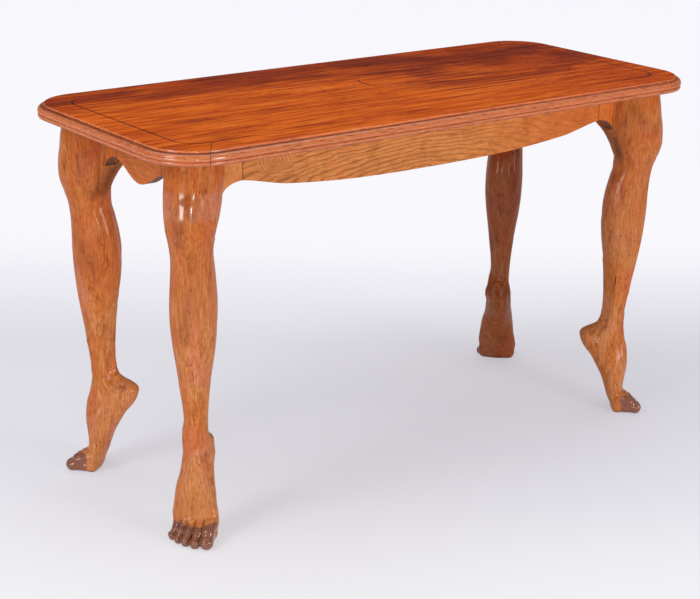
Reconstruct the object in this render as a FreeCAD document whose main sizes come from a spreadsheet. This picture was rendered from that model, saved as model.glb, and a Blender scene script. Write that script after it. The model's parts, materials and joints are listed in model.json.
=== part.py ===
"""Table with a framed top on four carved legs: every piece of wood and every screw is its own solid.

Frame: +Z up, X along the top, -Y the front. The origin is on the floor below the middle of the top.
Lengths are in millimetres. A leg's own frame has u pointing out along the table's diagonal, through
the knee and the toes, and v towards the big toe.
"""
import FreeCAD
import Part
import math
import os
import re
import types
from typing import NamedTuple

SIZES = (
    # the whole table
    ("table_height", 726.0),
    ("top_length", 1240.0),
    ("top_width", 537.0),
    # the framed top and its moulded edge
    ("top_thickness", 25.0),
    ("corner_radius", 96.0),
    ("lip_inset", 11.0),
    ("lip_height", 5.0),
    ("lip_round", 2.5),
    ("nose_height", 12.0),
    ("nose_round", 8.0),
    ("nose_under_round", 2.5),
    ("bead_inset", 0.5),
    ("bead_round", 3.0),
    ("border_width", 59.0),
    ("panel_corner_radius", 45.0),
    ("panel_seam_offset", 18.0),
    ("tongue_depth", 8.0),
    ("tongue_thickness", 7.0),
    ("groove_play", 1.0),
    ("mitre_outer", 68.0),
    ("mitre_inner", 110.0),
    ("mitre_tenon_width", 20.0),
    ("mitre_tenon_thickness", 8.0),
    ("mitre_tenon_length", 16.0),
    ("mitre_tenon_setback", 27.0),
    # aprons, their tenons and the ears beside the legs
    ("apron_inset", 92.0),
    ("apron_thickness", 22.0),
    ("apron_depth", 93.0),
    ("end_apron_depth", 90.0),
    ("apron_end_depth", 59.0),
    ("apron_tenon_thickness", 8.0),
    ("apron_tenon_height", 36.0),
    ("apron_tenon_drop", 12.0),
    ("apron_tenon_length", 22.0),
    ("ear_width", 42.0),
    ("ear_arch", 24.0),
    ("ear_lap", 14.0),
    # legs
    ("post_side", 58.0),
    ("post_height", 61.0),
    ("post_taper_height", 52.0),
    ("post_taper_side", 26.0),
    ("post_flat_depth", 10.0),
    ("leg_axis_end_inset", 100.0),
    ("leg_axis_side_inset", 92.5),
    ("calf_width", 82.0),
    # what lies under the top
    ("batten_width", 40.0),
    ("batten_height", 24.0),
    ("batten_tenon_length", 10.0),
    ("batten_spacing", 270.0),
    ("block_thickness", 30.0),
    ("block_height", 44.0),
    ("block_drop", 4.0),
    # screws
    ("screw_radius", 2.2),
    ("screw_head_radius", 4.4),
    ("screw_head_height", 3.0),
    ("screw_point", 5.0),
    ("top_screw_bite", 16.0),
    ("top_screw_spread", 180.0),
    ("block_screw_bite", 24.0),
    # how far a cutting tool runs past what it cuts
    ("overrun", 20.0),
)

# lower edge of the long aprons: share of the half length, share of the rise to the joint
LONG_EDGE_SHARES = (
    (0.0, 0.0),
    (0.3, 0.04),
    (0.52, 0.15),
    (0.72, 0.36),
    (0.81, 0.5),
    (0.89, 0.72),
    (1.0, 1.0),
)
# the same for the short aprons, which hang in a deeper lobe
SHORT_EDGE_SHARES = (
    (0.0, 0.0),
    (0.18, 0.06),
    (0.4, 0.28),
    (0.6, 0.56),
    (0.8, 0.83),
    (1.0, 1.0),
)

# carved leg: share of its height, then how far it reaches back, out, away from the big toe and
# towards it, as shares of the calf's width
LEG_SECTION_SHARES = (
    (0.000, -0.06, 0.34, 0.52, 0.36),
    (0.017, -0.02, 0.41, 0.57, 0.40),
    (0.043, 0.08, 0.36, 0.57, 0.44),
    (0.074, 0.17, 0.33, 0.59, 0.41),
    (0.107, 0.28, 0.36, 0.55, 0.36),
    (0.140, 0.43, 0.39, 0.52, 0.33),
    (0.168, 0.57, 0.38, 0.46, 0.30),
    (0.197, 0.77, 0.35, 0.43, 0.27),
    (0.221, 0.86, 0.29, 0.42, 0.26),
    (0.245, 0.84, 0.26, 0.46, 0.25),
    (0.265, 0.58, 0.24, 0.41, 0.20),
    (0.285, 0.40, 0.23, 0.39, 0.17),
    (0.310, 0.36, 0.23, 0.35, 0.18),
    (0.350, 0.34, 0.27, 0.36, 0.19),
    (0.400, 0.36, 0.33, 0.42, 0.23),
    (0.457, 0.41, 0.41, 0.48, 0.29),
    (0.514, 0.46, 0.49, 0.55, 0.35),
    (0.571, 0.52, 0.54, 0.60, 0.39),
    (0.628, 0.53, 0.58, 0.60, 0.40),
    (0.685, 0.47, 0.58, 0.57, 0.37),
    (0.728, 0.39, 0.60, 0.55, 0.36),
    (0.763, 0.33, 0.65, 0.55, 0.36),
    (0.792, 0.32, 0.73, 0.58, 0.39),
    (0.820, 0.35, 0.82, 0.62, 0.44),
    (0.850, 0.43, 0.85, 0.64, 0.50),
    (0.880, 0.51, 0.84, 0.66, 0.53),
    (0.913, 0.55, 0.78, 0.66, 0.55),
    (0.945, 0.55, 0.73, 0.65, 0.58),
    (0.973, 0.55, 0.70, 0.64, 0.58),
    (1.000, 0.55, 0.68, 0.64, 0.58),
)
SECTION_POINTS = 8

# toes from the big one: knuckle out, towards the big toe, up and radius, then the same for the tip
TOE_SHARES = (
    (0.26, 0.26, 0.31, 0.21, 0.665, 0.285, 0.135, 0.143),
    (0.28, 0.05, 0.32, 0.17, 0.675, 0.025, 0.10, 0.107),
    (0.26, -0.12, 0.31, 0.165, 0.61, -0.19, 0.095, 0.103),
    (0.21, -0.27, 0.29, 0.16, 0.51, -0.37, 0.09, 0.098),
    (0.13, -0.41, 0.25, 0.15, 0.365, -0.555, 0.088, 0.095),
)


class Corner(NamedTuple):
    """A leg: its name, its side of the table along X and Y, and whether its foot is a left one."""

    name: str
    side_x: int
    side_y: int
    left_foot: bool


class Side(NamedTuple):
    """A side of the table: its name, the sizes that its apron follows and the way it faces."""

    name: str
    run: str
    cross: str
    way: int
    depth: str
    edge_shares: tuple
    along_x: bool

    def turned(self, pair):
        """Swap two horizontal values on a side that runs along Y."""
        return pair if self.along_x else (pair[1], pair[0])

    def turn(self):
        """How far the side is turned about Z, in degrees."""
        return 0.0 if self.along_x else 90.0

    def apron_middle(self):
        """Where the middle of the apron's thickness lies across the table."""
        return "%d * (%s / 2 - apron_inset - apron_thickness / 2)" % (self.way, self.cross)


CORNERS = (
    Corner("front_left", -1, -1, False),
    Corner("front_right", 1, -1, True),
    Corner("back_left", -1, 1, False),
    Corner("back_right", 1, 1, True),
)
SIDES = (
    Side("front", "top_length", "top_width", -1, "apron_depth", LONG_EDGE_SHARES, True),
    Side("back", "top_length", "top_width", 1, "apron_depth", LONG_EDGE_SHARES, True),
    Side("left", "top_width", "top_length", -1, "end_apron_depth", SHORT_EDGE_SHARES, False),
    Side("right", "top_width", "top_length", 1, "end_apron_depth", SHORT_EDGE_SHARES, False),
)
UP = FreeCAD.Vector(0, 0, 1)

doc = FreeCAD.newDocument("carved_leg_table")
sheet = doc.addObject("Spreadsheet::Sheet", "sizes")
for row, (alias, value) in enumerate(SIZES, 1):
    sheet.set("A%d" % row, alias)
    sheet.set("B%d" % row, repr(value))
    sheet.setAlias("B%d" % row, alias)
doc.recompute()

# the sheet's sizes as numbers, for shapes that are drawn from curves
at = types.SimpleNamespace(**{alias: float(sheet.get(alias)) for alias, value in SIZES})
face_x = at.top_length / 2 - at.apron_inset
face_y = at.top_width / 2 - at.apron_inset
leg_height = at.table_height - at.top_thickness
diagonal = math.sqrt(2)
nodes = []


def rule(words):
    """An expression in which every name is a size of the sheet."""
    return re.sub(r"[a-z_]+", lambda found: "sizes." + found.group(0), words)


def bind(item, **rules):
    """Tie properties of an object to the sheet."""
    for name, words in rules.items():
        item.setExpression(name, rule(words))
    return item


def box(name, lengths, middle, low):
    """A box centred at middle in X and Y, standing on low."""
    item = doc.addObject("Part::Box", name)
    bind(item, Length=lengths[0], Width=lengths[1], Height=lengths[2])
    item.setExpression(".Placement.Base.x", rule("%s - (%s) / 2" % (middle[0], lengths[0])))
    item.setExpression(".Placement.Base.y", rule("%s - (%s) / 2" % (middle[1], lengths[1])))
    item.setExpression(".Placement.Base.z", rule(low))
    return item


def rounded(name, base, radius, wanted):
    """Round the edges of base that wanted() picks."""
    doc.recompute()
    item = doc.addObject("Part::Fillet", name)
    item.Base = base
    edges = enumerate(base.Shape.Edges, 1)
    item.Edges = [(number, radius, radius) for number, edge in edges if wanted(edge)]
    return item


def upright(edge):
    """True for an edge that runs along Z."""
    span = edge.BoundBox
    return span.ZLength > span.XLength + span.YLength


def rim(level):
    """A test for the edges that lie at one level."""

    def wanted(edge):
        span = edge.BoundBox
        return abs(span.ZMin - level) + abs(span.ZMax - level) < at.bead_round / 8

    return wanted


def joined(kind, name, parts):
    """A boolean of several solids: Part::MultiFuse or Part::MultiCommon."""
    item = doc.addObject(kind, name)
    item.Shapes = parts
    item.Refine = True
    return item


def fused(name, parts):
    """Join solids into one."""
    return joined("Part::MultiFuse", name, parts)


def common(name, parts):
    """Keep what solids share."""
    return joined("Part::MultiCommon", name, parts)


def cut(name, base, tool):
    """Take tool away from base."""
    item = doc.addObject("Part::Cut", name)
    item.Base = base
    item.Tool = tool
    item.Refine = True
    return item


def solid(name, shape):
    """A piece whose shape is drawn from curves."""
    item = doc.addObject("Part::Feature", name)
    item.Shape = shape
    return item


def keep(item, label):
    """Name a finished piece, which goes into a file of its own."""
    item.Label = label
    nodes.append(item)
    return item


# The framed top
TOP_LOW = "table_height - top_thickness"
NOSE_LOW = "table_height - lip_height - nose_height"
TONGUE_LOW = "table_height - (top_thickness + tongue_thickness) / 2"


def plate(name, inset, radius, thickness, low):
    """A board with the top's outline, moved in by inset, with round corners."""
    lengths = ("top_length - 2 * (%s)" % inset, "top_width - 2 * (%s)" % inset, thickness)
    return rounded(name, box(name + "_blank", lengths, ("0", "0"), low), radius, upright)


def moulded_slab():
    """The whole top's outer form: lip, nose and bead, one under the other."""
    lip_low = "table_height - lip_height"
    lip = plate("lip", "lip_inset", at.corner_radius - at.lip_inset, "lip_height", lip_low)
    lip = rounded("lip_rounded", lip, at.lip_round, rim(at.table_height))
    nose = plate("nose", "0", at.corner_radius, "nose_height", NOSE_LOW)
    nose_top = at.table_height - at.lip_height
    nose = rounded("nose_rounded", nose, at.nose_round, rim(nose_top))
    nose = rounded("nose_undercut", nose, at.nose_under_round, rim(nose_top - at.nose_height))
    bead_height = "(top_thickness - lip_height - nose_height)"
    bead = plate("bead", "bead_inset", at.corner_radius - at.bead_inset, bead_height, TOP_LOW)
    bead = rounded("bead_rounded", bead, at.bead_round, rim(leg_height))
    bead = rounded("bead_eased", bead, at.bead_round, rim(nose_top - at.nose_height))
    return fused("slab", [lip, nose, bead])


def panel_solids():
    """The panel with its tongue all round, and the space that the frame leaves for it."""
    tongue_radius = at.panel_corner_radius + at.tongue_depth
    plain = plate("panel_plate", "border_width", at.panel_corner_radius, "top_thickness", TOP_LOW)
    inset = "border_width - tongue_depth"
    tongue = plate("tongue_plate", inset, tongue_radius, "tongue_thickness", TONGUE_LOW)
    groove = plate("groove_plate", inset + " - groove_play", tongue_radius + at.groove_play,
                   "tongue_thickness", TONGUE_LOW)
    return fused("panel", [plain, tongue]), fused("panel_space", [plain, groove])


def mitre_wedge(name, turn):
    """The space of one long rail: a bar whose ends slope like mitres."""
    spread = "(top_length / 2 - mitre_outer + (mitre_inner - mitre_outer) * overrun / border_width)"
    low = TOP_LOW + " - overrun"
    high = "table_height + overrun"
    wedge = doc.addObject("Part::Wedge", "mitre_" + name)
    bind(wedge, Xmin="-1 * " + spread, Xmax=spread)
    bind(wedge, X2min="mitre_inner - top_length / 2", X2max="top_length / 2 - mitre_inner")
    bind(wedge, Ymin="-1 * top_width / 2 - overrun", Ymax="border_width - top_width / 2")
    bind(wedge, Zmin=low, Zmax=high, Z2min=low, Z2max=high)
    wedge.Placement.Rotation = FreeCAD.Rotation(UP, turn)
    return wedge


def mitre_tenons(name, way):
    """The tenons at both ends of one long rail."""
    reach = "mitre_inner - mitre_outer + mitre_tenon_length"
    lengths = (reach, "mitre_tenon_width", "mitre_tenon_thickness")
    along = "(top_length / 2 - (mitre_inner + mitre_outer - mitre_tenon_length) / 2)"
    across = "(top_width / 2 - mitre_tenon_setback - mitre_tenon_width / 2)"
    low = "table_height - (top_thickness + mitre_tenon_thickness) / 2"
    tenons = []
    for end_name, end in (("left", -1), ("right", 1)):
        middle = ("%d * %s" % (end, along), "%d * %s" % (way, across))
        tenons.append(box("mitre_tenon_%s_%s" % (name, end_name), lengths, middle, low))
    return tenons


def make_frame(slab, panel_space):
    """Two long rails with mitred, tenoned ends, and two ends that hold the round corners."""
    not_end = [panel_space]
    for name, way, turn in (("front", -1, 0.0), ("back", 1, 180.0)):
        wedge = mitre_wedge(name, turn)
        tenons = mitre_tenons(name, way)
        strip = cut("rail_strip_" + name, common("rail_length_" + name, [slab, wedge]), panel_space)
        keep(fused("rail_" + name, [strip] + tenons), "top_rail_" + name)
        not_end += [wedge] + tenons
    waste = fused("not_end", not_end)
    lengths = ("top_length", "2 * top_width", "3 * top_thickness")
    for name, way in (("left", -1), ("right", 1)):
        middle = ("%d * top_length / 2" % way, "0")
        half = box("top_half_" + name, lengths, middle, "table_height - 2 * top_thickness")
        keep(cut("end_" + name, common("end_blank_" + name, [slab, half]), waste), "top_end_" + name)


def make_panel_boards(panel, screw_space):
    """Two long boards fill the frame, glued along a seam behind the middle."""
    lengths = ("top_length", "top_width", "3 * top_thickness")
    for name, way in (("front", -1), ("back", 1)):
        middle = ("0", "panel_seam_offset + %d * top_width / 2" % way)
        half = box("panel_half_" + name, lengths, middle, "table_height - 2 * top_thickness")
        board = common("panel_blank_" + name, [panel, half])
        keep(cut("panel_" + name, board, screw_space), "panel_board_" + name)


# Screws and corner blocks
def screw(reach, spot, direction):
    """One wood screw with a countersunk head at spot, a shank and a point."""
    shank_reach = reach - at.screw_point
    head = Part.makeCone(at.screw_head_radius, at.screw_radius, at.screw_head_height)
    shank = Part.makeCylinder(at.screw_radius, shank_reach)
    point = Part.makeCone(at.screw_radius, 0, at.screw_point, UP * shank_reach)
    item = head.fuse([shank, point]).removeSplitter()
    item.Placement = FreeCAD.Placement(spot, FreeCAD.Rotation(UP, direction))
    return item


def post_corner(corner, reach, level):
    """A point on the diagonal through a post's inner corner, reach further out."""
    inner = FreeCAD.Vector(face_x - at.post_side, face_y - at.post_side, level)
    step = reach / diagonal
    return FreeCAD.Vector(corner.side_x * (inner.x + step), corner.side_y * (inner.y + step), inner.z)


def make_screws():
    """Screws up through the battens and out through the corner blocks, and the space of them all."""
    up_through_battens = []
    batten_low = leg_height - at.batten_height
    for across in (-1, 0, 1):
        for way in (-1, 1):
            spot = FreeCAD.Vector(across * at.batten_spacing, way * at.top_screw_spread / 2, batten_low)
            up_through_battens.append(screw(at.batten_height + at.top_screw_bite, spot, UP))
    through_blocks = []
    block_middle = leg_height - at.block_drop - at.block_height / 2
    for corner in CORNERS:
        spot = post_corner(corner, at.post_flat_depth - at.block_thickness, block_middle)
        outward = FreeCAD.Vector(corner.side_x, corner.side_y, 0)
        through_blocks.append(screw(at.block_thickness + at.block_screw_bite, spot, outward))
    keep(solid("top_screw_group", Part.makeCompound(up_through_battens)), "top_screws")
    keep(solid("block_screw_group", Part.makeCompound(through_blocks)), "corner_block_screws")
    return solid("screw_space", Part.makeCompound(up_through_battens + through_blocks))


def make_blocks(screw_space):
    """Corner blocks lie across the inside corners, between the aprons, in a flat on the leg's post."""
    inset = "(apron_inset + apron_thickness)"
    inner_lengths = ("top_length - 2 * " + inset, "top_width - 2 * " + inset, "table_height")
    inside = box("inside_frame", inner_lengths, ("0", "0"), "0")
    block_low = leg_height - at.block_drop - at.block_height
    blocks = []
    for corner in CORNERS:
        bar = doc.addObject("Part::Box", "block_bar_" + corner.name)
        bind(bar, Length="block_thickness", Width="top_width", Height="block_height")
        turned = FreeCAD.Rotation(UP, math.degrees(math.atan2(corner.side_y, corner.side_x)))
        start = post_corner(corner, at.post_flat_depth - at.block_thickness, block_low)
        half_across = turned.multVec(FreeCAD.Vector(0, at.top_width / 2, 0))
        bar.Placement = FreeCAD.Placement(start - half_across, turned)
        block = common("block_between_" + corner.name, [bar, inside])
        blocks.append(block)
        keep(cut("block_body_" + corner.name, block, screw_space), "corner_block_" + corner.name)
    return blocks


# Aprons, ears and battens
def make_battens(screw_space):
    """Battens cross between the long aprons, under the panel that is screwed to them."""
    lengths = ("batten_width", "top_width - 2 * (apron_inset + apron_thickness)", "batten_height")
    tenon_lengths = ("batten_width / 2", lengths[1] + " + 2 * batten_tenon_length", "batten_height / 2")
    tenons = []
    for number, across in enumerate((-1, 0, 1), 1):
        middle = ("%d * batten_spacing" % across, "0")
        bar = box("batten_bar_%d" % number, lengths, middle, TOP_LOW + " - batten_height")
        tenon = box("batten_tenon_%d" % number, tenon_lengths, middle, TOP_LOW + " - batten_height * 3 / 4")
        batten = fused("batten_joined_%d" % number, [bar, tenon])
        keep(cut("batten_body_%d" % number, batten, screw_space), "top_batten_%d" % number)
        tenons.append(tenon)
    return fused("batten_tenon_space", tenons)


def extruded_middle(face, depth, side):
    """A face of the XZ plane made deep, equally to both sides, and turned to a side of the table."""
    piece = face.extrude(FreeCAD.Vector(0, depth, 0))
    piece.translate(FreeCAD.Vector(0, depth / -2, 0))
    piece.rotate(FreeCAD.Vector(0, 0, 0), UP, side.turn())
    return piece


def lower_waste(side, half_length, depth):
    """What is sawn away under an apron: the space below a smooth curve, alike about the middle."""
    low = leg_height - depth
    rise = depth - at.apron_end_depth
    rising = [FreeCAD.Vector(half_length * along, 0, low + rise * up) for along, up in side.edge_shares]
    falling = [FreeCAD.Vector(-spot.x, 0, spot.z) for spot in reversed(rising[1:])]
    curve = Part.BSplineCurve()
    curve.interpolate(falling + rising)
    below = FreeCAD.Vector(half_length, 0, low - at.overrun)
    corners = [rising[-1], below, FreeCAD.Vector(-below.x, 0, below.z), falling[0]]
    sides = [Part.makeLine(*pair) for pair in zip(corners, corners[1:])]
    outline = Part.Wire([curve.toShape()] + sides)
    return extruded_middle(Part.Face(outline), at.top_length + at.top_width, side)


def make_apron(side, batten_space):
    """A board with a shaped lower edge and one long tenon, which runs through it end to end."""
    middle = side.turned(("0", side.apron_middle()))
    length = "%s - 2 * (apron_inset + post_side + ear_width)" % side.run
    lengths = side.turned((length, "apron_thickness")) + (side.depth,)
    board = box("apron_board_" + side.name, lengths, middle, "%s - %s" % (TOP_LOW, side.depth))
    half_length = getattr(at, side.run) / 2 - at.apron_inset - at.post_side - at.ear_width
    waste = solid("apron_waste_" + side.name, lower_waste(side, half_length, getattr(at, side.depth)))
    tenon_length = "%s - 2 * (apron_inset + post_side - apron_tenon_length)" % side.run
    tenon_lengths = side.turned((tenon_length, "apron_tenon_thickness")) + ("apron_tenon_height",)
    tenon_low = TOP_LOW + " - apron_tenon_drop - apron_tenon_height"
    tenon = box("apron_tenon_" + side.name, tenon_lengths, middle, tenon_low)
    whole = fused("apron_joined_" + side.name, [cut("apron_shaped_" + side.name, board, waste), tenon])
    keep(cut("apron_body_" + side.name, whole, batten_space), "apron_" + side.name)
    return tenon


def ear_arch(side, end):
    """The quarter of an ellipse that is sawn out below one ear."""
    hollow = Part.makeCylinder(1, 1, FreeCAD.Vector(0, 0, 0), FreeCAD.Vector(0, 1, 0))
    stretch = FreeCAD.Matrix()
    stretch.scale(at.ear_width, at.apron_thickness + at.overrun, at.ear_arch)
    hollow = hollow.transformGeometry(stretch)
    hollow.translate(FreeCAD.Vector(0, (at.apron_thickness + at.overrun) / -2, 0))
    hollow.rotate(FreeCAD.Vector(0, 0, 0), UP, side.turn())
    along = end * (getattr(at, side.run) / 2 - at.apron_inset - at.post_side - at.ear_width)
    across = side.way * (getattr(at, side.cross) / 2 - at.apron_inset - at.apron_thickness / 2)
    level = leg_height - at.apron_end_depth - at.ear_arch
    hollow.translate(FreeCAD.Vector(*side.turned((along, across)), level))
    return hollow


def ear_blank(side, end, tenon):
    """A board beside a leg, arched below, with a slot for the apron's tenon."""
    name = "%s_%d" % (side.name, end + 1)
    along = "%d * (%s / 2 - apron_inset - post_side - (ear_width - ear_lap) / 2)" % (end, side.run)
    middle = side.turned((along, side.apron_middle()))
    lengths = side.turned(("ear_width + ear_lap", "apron_thickness")) + ("apron_end_depth + ear_arch",)
    board = box("ear_board_" + name, lengths, middle, TOP_LOW + " - apron_end_depth - ear_arch")
    arched = cut("ear_arched_" + name, board, solid("ear_arch_" + name, ear_arch(side, end)))
    return cut("ear_slotted_" + name, arched, tenon)


def make_ears(side, tenon, legs):
    """The two ears of one side, scribed to its legs."""
    names = ("left", "right") if side.along_x else ("front", "back")
    for end, beside in zip((-1, 1), names):
        leg = legs[side.turned((end, side.way))]
        ear = cut("ear_body_%s_%s" % (side.name, beside), ear_blank(side, end, tenon), leg)
        keep(ear, "ear_%s_%s" % (side.name, beside))


# Carved legs
def section(level, back, out, outer, inner):
    """One level of the carved leg: a smooth closed curve through points of an oval."""
    reach = (out + back) / 2
    half = (outer + inner) / 2
    spots = []
    for number in range(SECTION_POINTS):
        angle = 2 * math.pi * number / SECTION_POINTS
        u_share = (out - back) / 2 + reach * math.cos(angle)
        v_share = (inner - outer) / 2 + half * math.sin(angle)
        spots.append(FreeCAD.Vector(at.calf_width * u_share, at.calf_width * v_share, leg_height * level))
    curve = Part.BSplineCurve()
    curve.interpolate(spots, PeriodicFlag=True)
    return Part.Wire([curve.toShape()])


def toe(knuckle_out, knuckle_side, knuckle_up, knuckle_share, tip_out, tip_side, tip_up, tip_share):
    """A toe: a ball at the knuckle, a ball at the tip and a taper between them."""
    knuckle = FreeCAD.Vector(knuckle_out, knuckle_side, knuckle_up) * at.calf_width
    tip = FreeCAD.Vector(tip_out, tip_side, tip_up) * at.calf_width
    knuckle_radius = knuckle_share * at.calf_width
    tip_radius = tip_share * at.calf_width
    taper = Part.makeCone(knuckle_radius, tip_radius, (tip - knuckle).Length, knuckle, tip - knuckle)
    return [Part.makeSphere(knuckle_radius, knuckle), taper, Part.makeSphere(tip_radius, tip)]


def carved_leg():
    """A right shank with its foot, cut flat where it stands."""
    shank = Part.makeLoft([section(*row) for row in LEG_SECTION_SHARES], True, False)
    whole = shank.fuse([piece for row in TOE_SHARES for piece in toe(*row)])
    deep = at.top_width
    floor = Part.makeBox(2 * deep, 2 * deep, deep, FreeCAD.Vector(-deep, -deep, -deep))
    return whole.cut(floor)


def mirrored(shape):
    """A right foot made into a left one, or the other way round."""
    flip = FreeCAD.Matrix()
    flip.scale(1, -1, 1)
    return shape.transformGeometry(flip)


def square(corner, side, level):
    """A square in the corner where the outer faces of two aprons meet."""
    spots = []
    for across, along in ((0, 0), (1, 0), (1, 1), (0, 1), (0, 0)):
        spot_x = corner.side_x * (face_x - side * across)
        spot_y = corner.side_y * (face_y - side * along)
        spots.append(FreeCAD.Vector(spot_x, spot_y, level))
    return Part.makePolygon(spots)


def post(corner):
    """The square post that takes the aprons, with its inner corner fading into the leg below."""
    low = leg_height - at.post_height
    block = Part.Face(square(corner, at.post_side, low)).extrude(UP * at.post_height)
    small = square(corner, at.post_taper_side, low - at.post_taper_height)
    return [block, Part.makeLoft([small, square(corner, at.post_side, low)], True, True)]


def make_legs(tenons, screw_space, blocks):
    """Four legs, each with its mortises, its screw's hole and the flat for its corner block."""
    waste = fused("leg_cuts", tenons + [screw_space] + blocks)
    feet = {False: carved_leg()}
    feet[True] = mirrored(feet[False])
    axis_x = at.top_length / 2 - at.leg_axis_end_inset
    axis_y = at.top_width / 2 - at.leg_axis_side_inset
    legs = {}
    for corner in CORNERS:
        leg = feet[corner.left_foot].copy()
        leg.rotate(FreeCAD.Vector(0, 0, 0), UP, math.degrees(math.atan2(corner.side_y, corner.side_x)))
        leg.translate(FreeCAD.Vector(corner.side_x * axis_x, corner.side_y * axis_y, 0))
        blank = solid("leg_blank_" + corner.name, leg.fuse(post(corner)))
        body = cut("leg_body_" + corner.name, blank, waste)
        legs[corner.side_x, corner.side_y] = keep(body, "leg_" + corner.name)
    return legs


def write_nodes():
    """Check every object, then write each finished piece to its own file."""
    doc.recompute()
    for item in doc.Objects:
        if "Invalid" in item.State or "Error" in item.State:
            raise RuntimeError("%s could not be built" % item.Name)
    for item in nodes:
        if item.Shape.isNull() or not item.Shape.isValid() or item.Shape.Volume <= 0:
            raise RuntimeError("%s has no sound solid" % item.Label)
    os.makedirs("parts", exist_ok=True)
    for item in nodes:
        item.Shape.exportStep(os.path.join("parts", item.Label + ".step"))
        print("%-24s %2d solids %12.0f mm3" % (item.Label, len(item.Shape.Solids), item.Shape.Volume))


panel, panel_space = panel_solids()
make_frame(moulded_slab(), panel_space)
screw_space = make_screws()
make_panel_boards(panel, screw_space)
batten_space = make_battens(screw_space)
tenons = [make_apron(side, batten_space) for side in SIDES]
legs = make_legs(tenons, screw_space, make_blocks(screw_space))
for side, tenon in zip(SIDES, tenons):
    make_ears(side, tenon, legs)
write_nodes()
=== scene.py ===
"""The looks of a long side table whose four legs are carved as human legs."""

import json
import logging
import math
from dataclasses import dataclass
from enum import Enum
from itertools import product
from typing import Any, Optional, Sequence, Union

import bmesh
import bpy
import numpy as np
from mathutils import Matrix, Vector

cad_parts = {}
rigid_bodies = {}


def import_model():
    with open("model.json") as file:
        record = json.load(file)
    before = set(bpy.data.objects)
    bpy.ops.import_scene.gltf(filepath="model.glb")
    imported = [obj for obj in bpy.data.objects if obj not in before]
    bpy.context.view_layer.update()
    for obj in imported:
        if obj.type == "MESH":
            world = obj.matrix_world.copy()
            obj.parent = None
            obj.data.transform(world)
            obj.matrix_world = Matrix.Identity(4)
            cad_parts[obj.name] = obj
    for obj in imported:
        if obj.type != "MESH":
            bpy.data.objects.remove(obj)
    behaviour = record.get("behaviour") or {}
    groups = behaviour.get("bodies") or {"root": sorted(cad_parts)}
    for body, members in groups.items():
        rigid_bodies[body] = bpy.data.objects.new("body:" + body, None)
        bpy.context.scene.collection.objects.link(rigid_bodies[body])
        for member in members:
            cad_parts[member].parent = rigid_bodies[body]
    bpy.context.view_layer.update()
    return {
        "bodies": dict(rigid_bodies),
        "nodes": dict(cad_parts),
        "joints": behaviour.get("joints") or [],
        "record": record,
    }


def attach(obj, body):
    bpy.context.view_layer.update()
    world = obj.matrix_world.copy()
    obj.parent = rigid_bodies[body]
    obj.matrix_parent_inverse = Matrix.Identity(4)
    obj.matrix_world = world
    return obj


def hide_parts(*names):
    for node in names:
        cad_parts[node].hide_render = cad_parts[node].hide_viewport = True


LOG = logging.getLogger("table")
MILLIMETRE = 0.001
FULL_TURN = 6.283
WELD = 1e-6
SAME_LEVEL = 1e-5
Colour = tuple[float, float, float, float]
Triple = tuple[float, float, float]
Stops = Sequence[tuple[float, Triple]]
Number = Union["Value", float]


def tone(red: float, green: float, blue: float) -> Colour:
    """Turn a colour as it looks on a screen, 0 to 255, into the light it stands for.

    Args:
        red: the red of the colour.
        green: the green of the colour.
        blue: the blue of the colour.

    Returns:
        The same colour in linear light, with full cover.
    """
    linear = []
    for part in (red, green, blue):
        share = part / 255.0
        linear.append(share / 12.92 if share <= 0.04045 else ((share + 0.055) / 1.055) ** 2.4)
    return (linear[0], linear[1], linear[2], 1.0)


@dataclass(frozen=True)
class Value:
    """A number or colour that varies over a surface, with the sums that are done on it."""

    sheet: "Sheet"
    socket: bpy.types.NodeSocket

    def __add__(self, other: Number) -> "Value":
        """This value plus another."""
        return self.sheet.maths("ADD", self, other)

    def __radd__(self, other: Number) -> "Value":
        """Another value plus this one."""
        return self.sheet.maths("ADD", other, self)

    def __sub__(self, other: Number) -> "Value":
        """This value less another."""
        return self.sheet.maths("SUBTRACT", self, other)

    def __rsub__(self, other: Number) -> "Value":
        """Another value less this one."""
        return self.sheet.maths("SUBTRACT", other, self)

    def __mul__(self, other: Number) -> "Value":
        """This value times another."""
        return self.sheet.maths("MULTIPLY", self, other)

    def __rmul__(self, other: Number) -> "Value":
        """Another value times this one."""
        return self.sheet.maths("MULTIPLY", other, self)

    def __truediv__(self, other: Number) -> "Value":
        """This value divided by another."""
        return self.sheet.maths("DIVIDE", self, other)

    def __abs__(self) -> "Value":
        """The value without its sign."""
        return self.sheet.maths("ABSOLUTE", self, 0.0)


@dataclass(frozen=True)
class Cloud:
    """Soft uneven cloud: its lumps in each metre along, across and up, its finer layers and how it is stirred."""

    lumps: Triple
    detail: float
    rough: float = 0.5
    swirl: float = 0.0


@dataclass(frozen=True)
class Wash:
    """A tint that multiplies the wood's colour. It grows from none to its full strength between the cloud's marks."""

    cloud: Cloud
    marks: tuple[float, float]
    strength: float
    tint: Triple


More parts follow.
